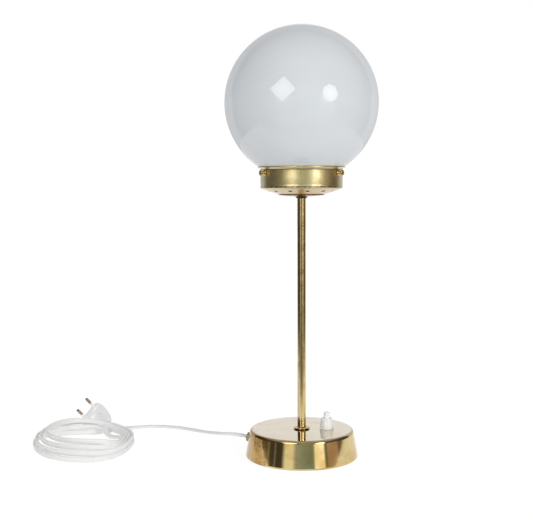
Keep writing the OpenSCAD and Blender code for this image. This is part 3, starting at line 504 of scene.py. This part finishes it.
RING_R, RING_H = 9.8, 3.1
flare = [(9.2 - 3.9 * cos(radians(a)),
          FOOT_HEIGHT + RING_H - 1.3 * sin(radians(a))) for a in range(90, -1, -6)]
foot_ring = lathe("stem_foot_ring",
                  [(STEM_HOLE_R, FOOT_HEIGHT), (7.4, FOOT_HEIGHT), (8.2, FOOT_HEIGHT + 0.5),
                   (9.2, FOOT_HEIGHT + 0.75)]
                  + arc((RING_R - 0.5, FOOT_HEIGHT + 1.28), 0.5, -80, 85, 10)
                  + flare + [(STEM_HOLE_R, FOOT_HEIGHT + RING_H)], turns=128)
foot_ring.data.materials.append(brass_turned)
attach(foot_ring, "lamp")
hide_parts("foot_ring")

# Blackened brass: nearly black oxide with brown rubbed through at the edges.
brass_black, _, shader, _ = start_material("brass_blackened", Metallic=1.0, Roughness=0.32)
two_tones(shader, 2, "#2a211b", "#5a4632", Detail=3.0)
top_ring = lathe("stem_top_ring", [(STEM_HOLE_R, 308.6), (5.6, 308.6), (5.9, 308.75), (6.8, 309.9),
                                   (7.1, 310.3), (7.1, 310.7), (STEM_HOLE_R, 310.7)], turns=128)
top_ring.data.materials.append(brass_black)
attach(top_ring, "lamp")
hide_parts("top_ring")

# Zinc plate on steel: pale grey, faintly blue, with the spangle of a thin coat.
steel_zinc, tree, shader, place = start_material("steel_zinc_plated", Metallic=1.0, Roughness=0.36)
spangle = add(tree, "TexVoronoi", {"Vector": place, "Scale": 1 / (1.5 * MM)})
connect(shader, Base_Color=add(tree, "Mix", {"Factor": spangle, "A": colour("#b4b8bd"),
                                             "B": colour("#8e9298")}, data_type="RGBA"))
finish_nodes(steel_zinc, "weight_washer", "cord_clamp", "clamp_screws")
finish_nodes(brass_turned, "weight_nut", "gallery_nut")

# Unlacquered brass, gone dull: olive, matt and finger-marked.
brass_dull, _, shader, _ = start_material("brass_turned_dulled", Metallic=1.0, Roughness=0.5)
two_tones(shader, 2.5, "#bfb28c", "#877c5c", Detail=3.0)
finish_nodes(brass_dull, "cord_gland", "gland_nut")

# ------------ disc under the gallery
# A shallow turned brass disc with a domed underside. It spreads the stem's hold on the thin floor.
DISC_Z, DISC_H, DISC_R = 310.7, 2.7, 27.0
DOME_FROM, DOME_TO = STEM_HOLE_R, 26.7
rise = DISC_H * 0.7
dome = (DISC_R**2 + rise**2) / 2 / rise
disc = lathe("gallery_disc_turned",
             [(r, DISC_Z + dome - sqrt(dome**2 - r**2))
              for r in [DOME_FROM + (DOME_TO - DOME_FROM) * i / 16 for i in range(17)]]
             + [(26.9, DISC_Z + 2.0), (DISC_R, DISC_Z + 2.15), (DISC_R, DISC_Z + DISC_H),
                (STEM_HOLE_R, DISC_Z + DISC_H)])
# Turned brass with a soft shine, painted a deeper, browner gold than the polished parts: painted
# shade, for the shade it sits in under the gallery.
disc_brass_painted_shade, _, shader, _ = start_material("brass_disc_painted_shade", Metallic=1.0, Roughness=0.24)
two_tones(shader, 6, "#96702a", "#744e1e", Detail=3.0)
disc.data.materials.append(disc_brass_painted_shade)
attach(disc, "lamp")
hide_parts("gallery_disc")

# ------------ gallery
# A cup spun from 0.8 mm brass: conical floor with twelve drilled air holes, straight wall, lip
# flared out to meet the globe. Three threaded bosses inside its wall carry the glass screws. The
# wall's holes, which the screws fill, aren't drawn.
GALLERY_Z, SHEET = DISC_Z + DISC_H, 0.8
SLOPE = 18.0
CORNER, CORNER_R = (46.7, 321.38), 1.5
WALL_R = 48.2
LIP_TOP, LIP_R = 345.6, 51.4
FLARE, FLARE_R = (WALL_R + 3.1, 341.5), 3.1
HOLES, HOLE_R, HOLE_RING = 12, 2.25, 38.6
HOLE_FROM, HOLE_TO = 33.0, 44.0
slope = tan(radians(SLOPE))
sector_turn = 2 * pi / HOLES
hole_turn = radians(-64.5)


def floor_under(r):
    """Height of the floor's underside at a radius."""
    return GALLERY_Z + max(r - DISC_R, 0) * slope


def floor_over(r):
    """Height of the floor's upper side at a radius."""
    return GALLERY_Z + max(SHEET, SHEET / cos(radians(SLOPE)) + (r - DISC_R) * slope)


gallery_points, gallery_faces = [], []
# The wall's height and how far it bulges: a slight swell, and a small ridge above its corner.
bulges = ((322, 0), (322.6, 0.1), (323.2, 0.15), (323.8, 0.1), (324.5, 0), (325, 0), (327, 0.07),
          (329.5, 0.12), (331.5, 0.12), (334.5, 0.07), (337.5, 0), (339.5, 0))
for outline in (
        [(STEM_HOLE_R, GALLERY_Z), (DISC_R, GALLERY_Z), (30, floor_under(30)),
         (HOLE_FROM, floor_under(HOLE_FROM))],
        [(HOLE_TO, floor_under(HOLE_TO)), (45.5, floor_under(45.5))]
        + arc(CORNER, CORNER_R, SLOPE - 90, 0, 12) + [(WALL_R + bulge, z) for z, bulge in bulges]
        + arc(FLARE, FLARE_R, 180, 112, 12)
        + [(LIP_R - 0.15, LIP_TOP - 1.1), (LIP_R, LIP_TOP - 0.85), (LIP_R, LIP_TOP - 0.25),
           (LIP_R - 0.2, LIP_TOP), (LIP_R - 0.6, LIP_TOP)]
        + arc(FLARE, FLARE_R + SHEET, 112, 180, 10) + [(WALL_R - SHEET, 330)]
        + arc(CORNER, CORNER_R - SHEET, 0, SLOPE - 90, 8) + [(HOLE_TO, floor_over(HOLE_TO))],
        [(HOLE_FROM, floor_over(HOLE_FROM)), (30, floor_over(30)), (DISC_R, GALLERY_Z + SHEET),
         (STEM_HOLE_R, GALLERY_Z + SHEET), (STEM_HOLE_R, GALLERY_Z)]):
    points, faces = sweep_round(outline, 240, hole_turn, len(gallery_points), closed=False)
    gallery_points += points
    gallery_faces += faces
# Each twelfth of the pierced band: rings of points that change from the drilled hole to its border.
BAND_RINGS, ALONG, ACROSS = 6, 20, 8
for sector in range(HOLES):
    first = hole_turn + sector * sector_turn
    middle = first + sector_turn / 2
    hole_x, hole_y = HOLE_RING * cos(middle), HOLE_RING * sin(middle)
    along = [sector_turn * i / ALONG for i in range(ALONG)]
    across = [(HOLE_TO - HOLE_FROM) * i / ACROSS for i in range(ACROSS)]
    border = ([(HOLE_FROM, first + a) for a in along]
              + [(HOLE_FROM + d, first + sector_turn) for d in across]
              + [(HOLE_TO, first + sector_turn - a) for a in along]
              + [(HOLE_TO - d, first) for d in across])
    border = [(r * cos(a), r * sin(a)) for r, a in border]
    n = len(border)
    for height_at in (floor_under, floor_over):
        start = len(gallery_points)
        for step in range(BAND_RINGS):
            t = (step / (BAND_RINGS - 1)) ** 1.4
            for x, y in border:
                away = hypot(x - hole_x, y - hole_y)
                near_x = hole_x + (x - hole_x) / away * HOLE_R
                near_y = hole_y + (y - hole_y) / away * HOLE_R
                px, py = near_x + (x - near_x) * t, near_y + (y - near_y) * t
                gallery_points.append(Vector((px, py, height_at(hypot(px, py)))) * MM)
        for step in range(BAND_RINGS - 1):
            gallery_faces += ring_faces(start + step * n, start + (step + 1) * n, n)
    gallery_faces += ring_faces(start - BAND_RINGS * n, start, n)
gallery = make_piece("gallery_spun", gallery_points, gallery_faces, 30)

# Spun brass, satin from fine emery on the lathe, under a thin film of old lacquer: the metal gives
# a broad warm shine and the film a whiter one. It is cloudy where it has aged, paler on the wiped
# floor, and dark where polish has collected above the bottom corner. Under the lip a dark band is
# painted shade: the dark floor's reflection in the hollow of the flare. The emery's lines are drawn
# 0.5 mm apart, as coarse as they need to show.
brass_gallery, tree, shader, place = start_material(
    "brass_gallery_satin", Metallic=1.0, Coat_Weight=1.0, Coat_Roughness=0.22, Coat_IOR=1.7)
aged = add(tree, "TexNoise", {"Vector": place, "Scale": 1 / (11 * MM), "Detail": 5.0,
                              "Roughness": 0.6})
age = add(tree, "MapRange", {"Value": aged, "From Min": 0.35, "From Max": 0.7})
satin = add(tree, "Mix", {"Factor": age, "A": colour("#e2d39b"), "B": colour("#d0be82")},
            data_type="RGBA")
height = add(tree, "SeparateXYZ", {"Vector": place}).node.outputs["Z"]


def fades_in(start, end, most=1.0):
    """Rises from 0 to its most while the height goes from start to end, in millimetres."""
    return add(tree, "MapRange", {"Value": height, "From Min": start * MM, "From Max": end * MM,
                                  "To Max": most})


band = add(tree, "Math", {0: fades_in(323.0, 322.6), 1: fades_in(321.5, 321.8)},
           operation="MULTIPLY")
blotch = add(tree, "TexNoise", {"Vector": place, "Scale": 1 / (3.5 * MM), "Detail": 2.0})
dirty = add(tree, "MapRange", {"Value": blotch, "From Min": 0.48, "From Max": 0.6})
lowest = add(tree, "Math", {0: band, 1: dirty}, operation="MULTIPLY")
# Painted shade: the hollow under the lip is darkened as the dark floor's reflection there.
lip_painted_shade = add(tree, "Math", {0: fades_in(341.3, 341.9), 1: fades_in(343.3, 342.6, 0.6)},
             operation="MULTIPLY")
grime_and_painted_shade = add(tree, "Math", {0: lowest, 1: lip_painted_shade}, operation="MAXIMUM")
wiped = add(tree, "Mix", {"Factor": fades_in(320.5, 320.2), "A": satin, "B": colour("#caa970")},
            data_type="RGBA")
tint = add(tree, "Mix", {"Factor": grime_and_painted_shade, "A": wiped, "B": colour("#6e5a38")}, data_type="RGBA")
soft = add(tree, "MapRange", {"Value": age, "To Min": 0.37, "To Max": 0.43})
rings = add(tree, "Mapping", {"Vector": place, "Scale": (0.03, 0.03, 1.0)})
emery = add(tree, "TexNoise", {"Vector": rings, "Scale": 1 / (0.5 * MM), "Detail": 2.0})
lathe_marks = add(tree, "Bump", {"Height": emery, "Strength": 0.15, "Distance": 0.02 * MM})
connect(shader, Base_Color=tint, Roughness=soft, Normal=lathe_marks)
gallery.data.materials.append(brass_gallery)
# The drilled edges of the air holes are matt and painted dark: painted shade, so the holes read as
# dark openings into the cup.
hole_edge_painted_shade, _, shader, _ = start_material("brass_drilled_painted_shade", Metallic=1.0, Roughness=0.6)
two_tones(shader, 1.5, "#4a3a28", "#2a2018", Detail=2.0)
gallery.data.materials.append(hole_edge_painted_shade)
for face in gallery.data.polygons:
    away = hypot(face.center.x, face.center.y) / MM
    if abs(away - HOLE_RING) < HOLE_R + 0.1 and abs(face.normal.z) < 0.5:
        face.material_index = 1
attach(gallery, "lamp")
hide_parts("gallery")
finish_nodes(brass_gallery, "screw_bosses")

# ------------ glass screws
# Three turned brass thumbscrews, 120 degrees apart, with spool-shaped heads.
# Their tips stand against the globe's neck and keep it from lifting out.
SCREW_Z = 338.2
HEAD_R, HEAD_L, HEAD_FROM = 3.25, 6.9, 48.4
head = ([(0, 43.9), (1.7, 43.9), (1.9, 44.1), (1.9, HEAD_FROM), (HEAD_R * 0.8, HEAD_FROM)]
        + arc((HEAD_R * 0.8, HEAD_FROM + HEAD_L * 0.15), HEAD_L * 0.15, -80, 60, 10)
        + arc((HEAD_R * 0.9, HEAD_FROM + HEAD_L * 0.48), HEAD_R * 0.35, 230, 130, 10)
        + arc((HEAD_R - HEAD_L * 0.12, HEAD_FROM + HEAD_L * 0.85), HEAD_L * 0.12, -40, 80, 10)
        + [(1.6, HEAD_FROM + HEAD_L * 0.955), (0, HEAD_FROM + HEAD_L * 0.97)])
for side, turn in (("left", 210), ("right", 330), ("back", 90)):
    lie = (Matrix.Translation((0, 0, SCREW_Z * MM)) @ Matrix.Rotation(radians(turn), 4, "Z")
           @ Matrix.Rotation(radians(90), 4, "Y"))
    screw = lathe("thumbscrew_" + side, head, turns=64, place=lie)
    screw.data.materials.append(brass_turned)
    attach(screw, "screw_" + side)
    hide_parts("glass_screw_" + side)

# ------------ globe
# Opal glass, blown into a mould to 180 mm, 3 mm thick, fire-polished, with a straight cracked-off
# neck that stands in the gallery. It rests just above the lip.
GLOBE_R, GLASS, GLOBE_Z = 90.0, 3.0, 420.09
NECK_R, NECK_Z, FILLET = 43.6, 319.94, 3.0
inner_r = GLOBE_R - GLASS
fillet_r = NECK_R + FILLET
fillet_z = GLOBE_Z - sqrt((GLOBE_R + FILLET) ** 2 - fillet_r**2)
leave = degrees(atan2(GLOBE_Z - fillet_z, -fillet_r))
start_turn = degrees(atan2(fillet_z - GLOBE_Z, fillet_r))
inner_turn = -degrees(acos((NECK_R - GLASS) / inner_r))
globe = lathe("globe_opal",
              [(NECK_R - 0.6, NECK_Z), (NECK_R - 0.15, NECK_Z + 0.15), (NECK_R, NECK_Z + 0.6),
               (NECK_R, fillet_z)] + arc((fillet_r, fillet_z), FILLET, 180, leave, 8)[1:]
              + arc((0, GLOBE_Z), GLOBE_R, start_turn, 90, 90)[1:-1]
              + [(0, GLOBE_Z + GLOBE_R), (0, GLOBE_Z + inner_r)]
              + arc((0, GLOBE_Z), inner_r, 90, inner_turn, 60)[1:]
              + [(NECK_R - GLASS, NECK_Z + 0.4), (NECK_R - GLASS + 0.4, NECK_Z)], sharp=30)
# Opal glass: milky white through its thickness, so its form stays soft, under a hard fire-polished
# skin that mirrors sharply. The blowing leaves slow clouds in its whiteness and slow waves in it.
opal, tree, shader, place = start_material("glass_opal_blown", Roughness=0.015, IOR=1.5)
two_tones(shader, 55, "#d4d8db", "#cfd3d6", Detail=2.0)
pull = add(tree, "TexNoise", {"Vector": place, "Scale": 1 / (40 * MM), "Detail": 1.0})
connect(shader, Normal=add(tree, "Bump", {"Height": pull, "Strength": 0.5, "Distance": 0.02 * MM}))
globe.data.materials.append(opal)
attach(globe, "globe")
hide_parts("globe")

# ------------ lampholder
# A 40 mm screw lampholder on the stem's end: white moulded cap and skirt, a glazed porcelain block
# with two terminals, and a brass shell with a rolled thread. A sprung strip is its centre contact.
# Moulded urea resin: ivory white, glossy, with faint flow clouds.
urea_holder, _, shader, _ = start_material("urea_holder_moulded", Roughness=0.22, IOR=1.54)
two_tones(shader, 14, "#efece2", "#e4dfd1", Detail=2.0, Distortion=1.0)
finish_nodes(urea_holder, "holder_cap", "holder_skirt", "switch_housing")

# Glazed porcelain: pure white under a thick wet-looking glaze that pools slightly.
porcelain, tree, shader, _ = start_material("porcelain_glazed", Roughness=0.1, IOR=1.52)
glaze = two_tones(shader, 5, "#f4f2ec", "#e9e6dd", Detail=1.0)
connect(shader, Normal=add(tree, "Bump", {"Height": glaze, "Strength": 0.3, "Distance": 0.3 * MM}))
finish_nodes(porcelain, "holder_insert")

# Pressed brass strip: bare and springy, browned by heat in places. The rolling marks are drawn
# 0.6 mm wide, as coarse as they need to show.
brass_strip, tree, shader, place = start_material("brass_strip_pressed", Metallic=1.0,
                                                  Roughness=0.28)
two_tones(shader, 4, "#dcc079", "#a98545", Detail=3.0)
rolled = add(tree, "TexNoise", {"Vector": place, "Scale": 1 / (0.6 * MM), "Detail": 2.0})
connect(shader, Normal=add(tree, "Bump", {"Height": rolled, "Strength": 0.2,
                                          "Distance": 0.03 * MM}))
finish_nodes(brass_strip, "holder_terminals", "socket_shell", "centre_contact", "switch_bridge",
             "switch_contacts")

# ------------ bulb
# A frosted bulb of 60 mm on a pressed aluminium screw cap, with a black glass insulator and a
# spot of solder under it. It screws into the lampholder.
# Frosted glass: etched inside, so it looks evenly white and shows only a soft sheen.
bulb_glass, _, shader, _ = start_material("glass_bulb_frosted", Roughness=0.3, IOR=1.5)
two_tones(shader, 0.8, "#f4f3ee", "#e9e8e2", Detail=3.0)
finish_nodes(bulb_glass, "bulb_glass")

# Pressed aluminium: bare and pale, with small clouds of scuffs that dull it.
aluminium, tree, shader, _ = start_material("aluminium_cap_pressed", Metallic=1.0)
scuff = two_tones(shader, 1.4, "#d6d8da", "#b6b9bc", Detail=4.0)
connect(shader, Roughness=add(tree, "MapRange", {"Value": scuff, "To Min": 0.22, "To Max": 0.5}))
finish_nodes(aluminium, "bulb_cap")

# Black insulating glass: pressed, glossy, with grey flecks of solder flux.
black_glass, _, shader, _ = start_material("glass_black_pressed", Roughness=0.15, IOR=1.5)
two_tones(shader, 1.2, "#1d1d20", "#4a4a4e", Detail=4.0)
finish_nodes(black_glass, "bulb_contact")

# ------------ push switch
# A push switch in the foot's top: a white moulded cone screws down over its threaded neck, and
# the white push rod stands in the middle of the cone. Its flange stays inside the foot.
SWITCH_X = 29.9
COLLAR_H, COLLAR_BORE = 12.6, 3.85
BUTTON_TOP, BUTTON_R, BUTTON_FLANGE_R = 53.9, 3.5, 6
switch_place = Matrix.Translation((SWITCH_X * MM, 0, 0))
rim = FOOT_HEIGHT + COLLAR_H
collar = lathe("switch_collar_moulded",
               [(STEM_HOLE_R, FOOT_HEIGHT), (7.9, FOOT_HEIGHT), (8.2, FOOT_HEIGHT + 0.3),
                (8.2, FOOT_HEIGHT + 0.8), (7.5, FOOT_HEIGHT + 6.5), (6.85, rim - 0.6)]
               + arc((6.35, rim - 0.5), 0.5, 0, 90, 8)
               + [(6.0, rim - 0.04), (5.6, rim - 0.3), (4.9, rim - 0.5), (4.2, rim - 0.6),
                  (COLLAR_BORE, rim - 0.9), (COLLAR_BORE, FOOT_HEIGHT + 8.2),
                  (STEM_HOLE_R, FOOT_HEIGHT + 8.2)], turns=128, place=switch_place)
button = lathe("push_button",
               [(2.2, 24.9), (2.2, 26.5), (BUTTON_FLANGE_R, 26.5), (BUTTON_FLANGE_R, 29.2),
                (BUTTON_R, 29.2), (BUTTON_R, 44)] + arc((1.9, BUTTON_TOP - 1.65), 1.6, 0, 84, 12)
               + [(0.9, BUTTON_TOP - 0.01), (0, BUTTON_TOP), (0, 24.9)],
               turns=96, place=switch_place)
# Moulded urea resin: clean warm white, satin from handling, slightly mottled.
urea_switch, _, shader, _ = start_material("urea_switch_moulded", Roughness=0.5, IOR=1.54)
two_tones(shader, 6, "#fdfcfa", "#f6f5f2", Detail=3.0)
for piece, body, node in ((collar, "lamp", "switch_collar"), (button, "button", "switch_button")):
    piece.data.materials.append(urea_switch)
    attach(piece, body)
    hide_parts(node)

# ------------ switch spring
# The switch's return spring: five turns of 0.5 mm zinc-plated steel wire between the housing's
# floor and the contact bridge. In use it shortens by as much as the button goes down; here it is
# drawn at rest and stays with the lamp.
SPRING_R, WIRE_R = 3.4, 0.25
SPRING_FLOOR, SPRING_BRIDGE, SPRING_PLAY = 17.6, 25.7, 0.05
SPRING_TURNS, SPRING_STEPS, WIRE_SIDES = 5, 120, 10
wire_low = SPRING_FLOOR + WIRE_R + SPRING_PLAY
wire_high = SPRING_BRIDGE - WIRE_R - SPRING_PLAY
spring_points = []
for i in range(SPRING_STEPS + 1):
    turn = 2 * pi * SPRING_TURNS * i / SPRING_STEPS
    z = wire_low + (wire_high - wire_low) * i / SPRING_STEPS
    for k in range(WIRE_SIDES):
        a = 2 * pi * k / WIRE_SIDES
        r = SPRING_R + WIRE_R * cos(a)
        spring_points.append(Vector((SWITCH_X + r * cos(turn), r * sin(turn),
                                     z + WIRE_R * sin(a))) * MM)
spring = make_piece("return_spring", spring_points, tube_faces(spring_points, WIRE_SIDES), 60)
spring.data.materials.append(steel_zinc)
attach(spring, "lamp")
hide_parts("switch_spring")
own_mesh(spring)

# ------------ wires
# Inside the foot the flex's sheath ends at the clamp. One blue core runs straight up the stem, one
# brown core goes to the switch, and a second brown wire goes from the switch up the stem.
# Core sheaths: thin soft PVC, faintly glossy, marked by handling.
finish_nodes(pvc_flex, "cord_tail")
for name, clean, marked, nodes in (
        ("pvc_wire_blue", "#3f6ea8", "#2f5a92", ("wire_neutral",)),
        ("pvc_wire_brown", "#7a4d30", "#5f3a22", ("wire_switched", "wire_feed"))):
    pvc_wire, _, shader, _ = start_material(name, Roughness=0.4, IOR=1.53)
    two_tones(shader, 5, clean, marked, Detail=3.0)
    finish_nodes(pvc_wire, *nodes)

# ------------ studio
# A white table that runs to a lit white backdrop, in a dim room, with a square and an eight-sided
# softbox in front. The cards are seen only by polished surfaces; two soft lamps do their lighting.
TABLE_SIDE, TABLE_FRONT, TABLE_BACK = 0.78, -0.39, 6
floor = make_piece("floor", [(-TABLE_SIDE, TABLE_FRONT, 0), (TABLE_SIDE, TABLE_FRONT, 0),
                             (TABLE_SIDE, TABLE_BACK, 0), (-TABLE_SIDE, TABLE_BACK, 0)],
                   [(0, 1, 2, 3)])
# White paper: matt, and so evenly lit from behind the lamp that the eye sees only the contact
# shadow. It is dimmer to polished surfaces, and dimmest at its front edge.
white_table, tree, _, place = start_material("table_paper_white")
ray = add(tree, "LightPath").node.outputs
seen = add(tree, "Math", {0: ray["Is Camera Ray"], 1: ray["Is Transmission Ray"]},
           operation="MAXIMUM")
table_y = add(tree, "SeparateXYZ", {"Vector": place}).node.outputs["Y"]
on_table = add(tree, "MapRange", {"Value": table_y, "From Min": -0.38, "From Max": -0.22,
                                  "To Min": 0.3, "To Max": 0.95})
as_mirrored = add(tree, "Mix", {"Factor": ray["Is Glossy Ray"], "A": 0.22, "B": on_table},
                  data_type="FLOAT")
from_lamp = add(tree, "VectorMath", {0: place}, operation="LENGTH")
paper_level = add(tree, "MapRange", {"Value": from_lamp, "From Min": 0.4, "From Max": 0.7,
                                     "To Min": 0.85, "To Max": 1.0})
glow = add(tree, "Mix", {"Factor": seen, "A": as_mirrored, "B": paper_level}, data_type="FLOAT")
paper = add(tree, "Emission", {"Color": (1, 1, 1, 1), "Strength": glow})
pale, white, dark = [add(tree, "BsdfDiffuse", {"Color": (grey, grey, grey, 1)})
                     for grey in (0.27, 0.85, 0.0)]
unseen = add(tree, "MixShader", {0: ray["Is Glossy Ray"], 1: white, 2: dark})
matt = add(tree, "MixShader", {0: seen, 1: unseen, 2: pale})
connect(tree.nodes["Material Output"], Surface=add(tree, "AddShader", {0: matt, 1: paper}))
floor.data.materials.append(white_table)

# What stands round the room at table height, as polished brass shows it: degrees to the right of
# the front, and the colour there. Stands and flags are dark, the softboxes' spill is bright.
ROOM = ((-180, "#ebebeb"), (-131, "#ebebeb"), (-122, "#4a4948"), (-76, "#524e49"),
        (-73, "#887e70"), (-70, "#3a3937"), (-60, "#363433"), (-57, "#746f68"), (-54, "#363433"),
        (-41, "#3c3b38"), (-34, "#d4d2c6"), (-20, "#dadad2"), (-12, "#8a9296"), (5, "#7c898e"),
        (25, "#788a8c"), (28, "#ffffff"), (47, "#ffffff"), (50, "#5f706f"), (54, "#66655a"),
        (56, "#9d8377"), (80, "#a0887c"), (86, "#504c46"), (122, "#504c46"), (131, "#ebebeb"),
        (180, "#ebebeb"))
world = bpy.data.worlds.new("studio_room")
scene.world = world
world.use_nodes = True
tree = world.node_tree
ray = add(tree, "LightPath").node.outputs
looked = add(tree, "TexCoord").node.outputs["Generated"]
way = add(tree, "SeparateXYZ", {"Vector": looked}).node.outputs
forward = add(tree, "Math", {0: way["Y"], 1: -1.0}, operation="MULTIPLY")
turned_to = add(tree, "Math", {0: way["X"], 1: forward}, operation="ARCTAN2")
round_room = add(tree, "MapRange", {"Value": turned_to, "From Min": -pi, "From Max": pi})
stands = add(tree, "ValToRGB", {"Fac": round_room})
stops = stands.node.color_ramp.elements
stops[0].position, stops[0].color = 0.0, colour(ROOM[0][1])
stops[1].position, stops[1].color = 1.0, colour(ROOM[-1][1])
for turn, shade in ROOM[1:-1]:
    stops.new((turn + 180) / 360).color = colour(shade)
near_floor = add(tree, "MapRange", {"Value": way["Z"], "From Min": -0.2, "From Max": 0.03,
                                    "To Min": 0.45, "To Max": 1.45})
low_room = add(tree, "VectorMath", {0: stands, "Scale": near_floor}, operation="SCALE")
ceiling = add(tree, "MapRange", {"Value": way["Z"], "From Min": 0.5, "From Max": 0.95,
                                 "To Min": 0.065, "To Max": 0.45}, interpolation_type="SMOOTHSTEP")
upper = add(tree, "MapRange", {"Value": way["Z"], "From Min": 0.1, "From Max": 0.16})
room = add(tree, "Mix", {"Factor": upper, "A": low_room, "B": ceiling}, data_type="RGBA")
backdrop = add(tree, "MapRange", {"Value": way["Y"], "From Min": 0.56, "From Max": 0.68})
behind_foot = add(tree, "VectorMath", {0: looked, 1: (0.0, 0.963, 0.268)}, operation="DOT_PRODUCT")
backdrop_level = add(tree, "MapRange", {"Value": behind_foot, "From Min": 0.965,
                                        "From Max": 0.985, "To Min": 0.64, "To Max": 0.97})
polished = add(tree, "Mix", {"Factor": backdrop, "A": room, "B": backdrop_level}, data_type="RGBA")
around_it = add(tree, "MapRange", {"Value": way["Z"], "From Min": -1.0, "From Max": 1.0,
                                   "To Min": 0.92, "To Max": 0.4})
lit = add(tree, "Mix", {"Factor": ray["Is Glossy Ray"], "A": around_it, "B": polished},
          data_type="RGBA")
plain = add(tree, "Math", {0: ray["Is Camera Ray"], 1: ray["Is Transmission Ray"]},
            operation="MAXIMUM")
level = add(tree, "Mix", {"Factor": plain, "A": lit, "B": (1, 1, 1, 1)}, data_type="RGBA")
connect(tree.nodes["Background"], Color=level)

globe_middle = Vector((0, 0, GLOBE_Z * MM))


def studio_spot(turn, rise, distance):
    """A place round the globe: degrees to the right of the front, degrees up, metres away."""
    t, r = radians(turn), radians(rise)
    return globe_middle + distance * Vector((sin(t) * cos(r), -cos(t) * cos(r), sin(r)))


def card(name, corners, spin, size, place_at, strength, shade="#ffffff"):
    """A lit card that only polished surfaces see, brightest in its middle."""
    turns = [radians(spin) + 2 * pi * i / corners for i in range(corners)]
    piece = make_piece(name, [(size[0] * cos(a), size[1] * sin(a), 0) for a in turns],
                       [tuple(range(corners))])
    piece.location = place_at
    piece.rotation_euler = (globe_middle - place_at).to_track_quat("Z", "Y").to_euler()
    piece.visible_camera = piece.visible_diffuse = piece.visible_shadow = False
    piece.visible_transmission = False
    light, tree, _, place = start_material("light_" + name)
    from_middle = add(tree, "VectorMath", {0: place}, operation="LENGTH")
    falls = add(tree, "MapRange", {"Value": from_middle, "From Max": size[0],
                                   "To Min": strength, "To Max": strength * 0.6})
    emit = add(tree, "Emission", {"Color": colour(shade), "Strength": falls})
    connect(tree.nodes["Material Output"], Surface=emit)
    piece.data.materials.append(light)


card("square_softbox", 4, 0, (0.54, 0.5), studio_spot(-27, 14.7, 1.6), 5.5)
card("round_softbox", 8, 0, (0.34, 0.33), studio_spot(41.3, 8.8, 1.6), 7.0)
card("pale_wall", 4, 45, (0.9, 0.8), studio_spot(10.5, 13, 2.1), 0.6, "#e8ecdc")
card("ceiling_strip", 4, 45, (0.045, 0.3), studio_spot(0, 55, 1.6), 3.2, "#ffe8e4")

for name, turn, rise, energy in (("square_lamp", -30, 20, 6.3), ("round_lamp", 44, 12, 9.5)):
    lamp = bpy.data.objects.new(name, bpy.data.lights.new(name, "AREA"))
    scene.collection.objects.link(lamp)
    lamp.location = studio_spot(turn, rise, 1.6)
    lamp.rotation_euler = (lamp.location - globe_middle).to_track_quat("Z", "Y").to_euler()
    lamp.data.energy = energy
    lamp.data.size = 0.8
    lamp.visible_glossy = False
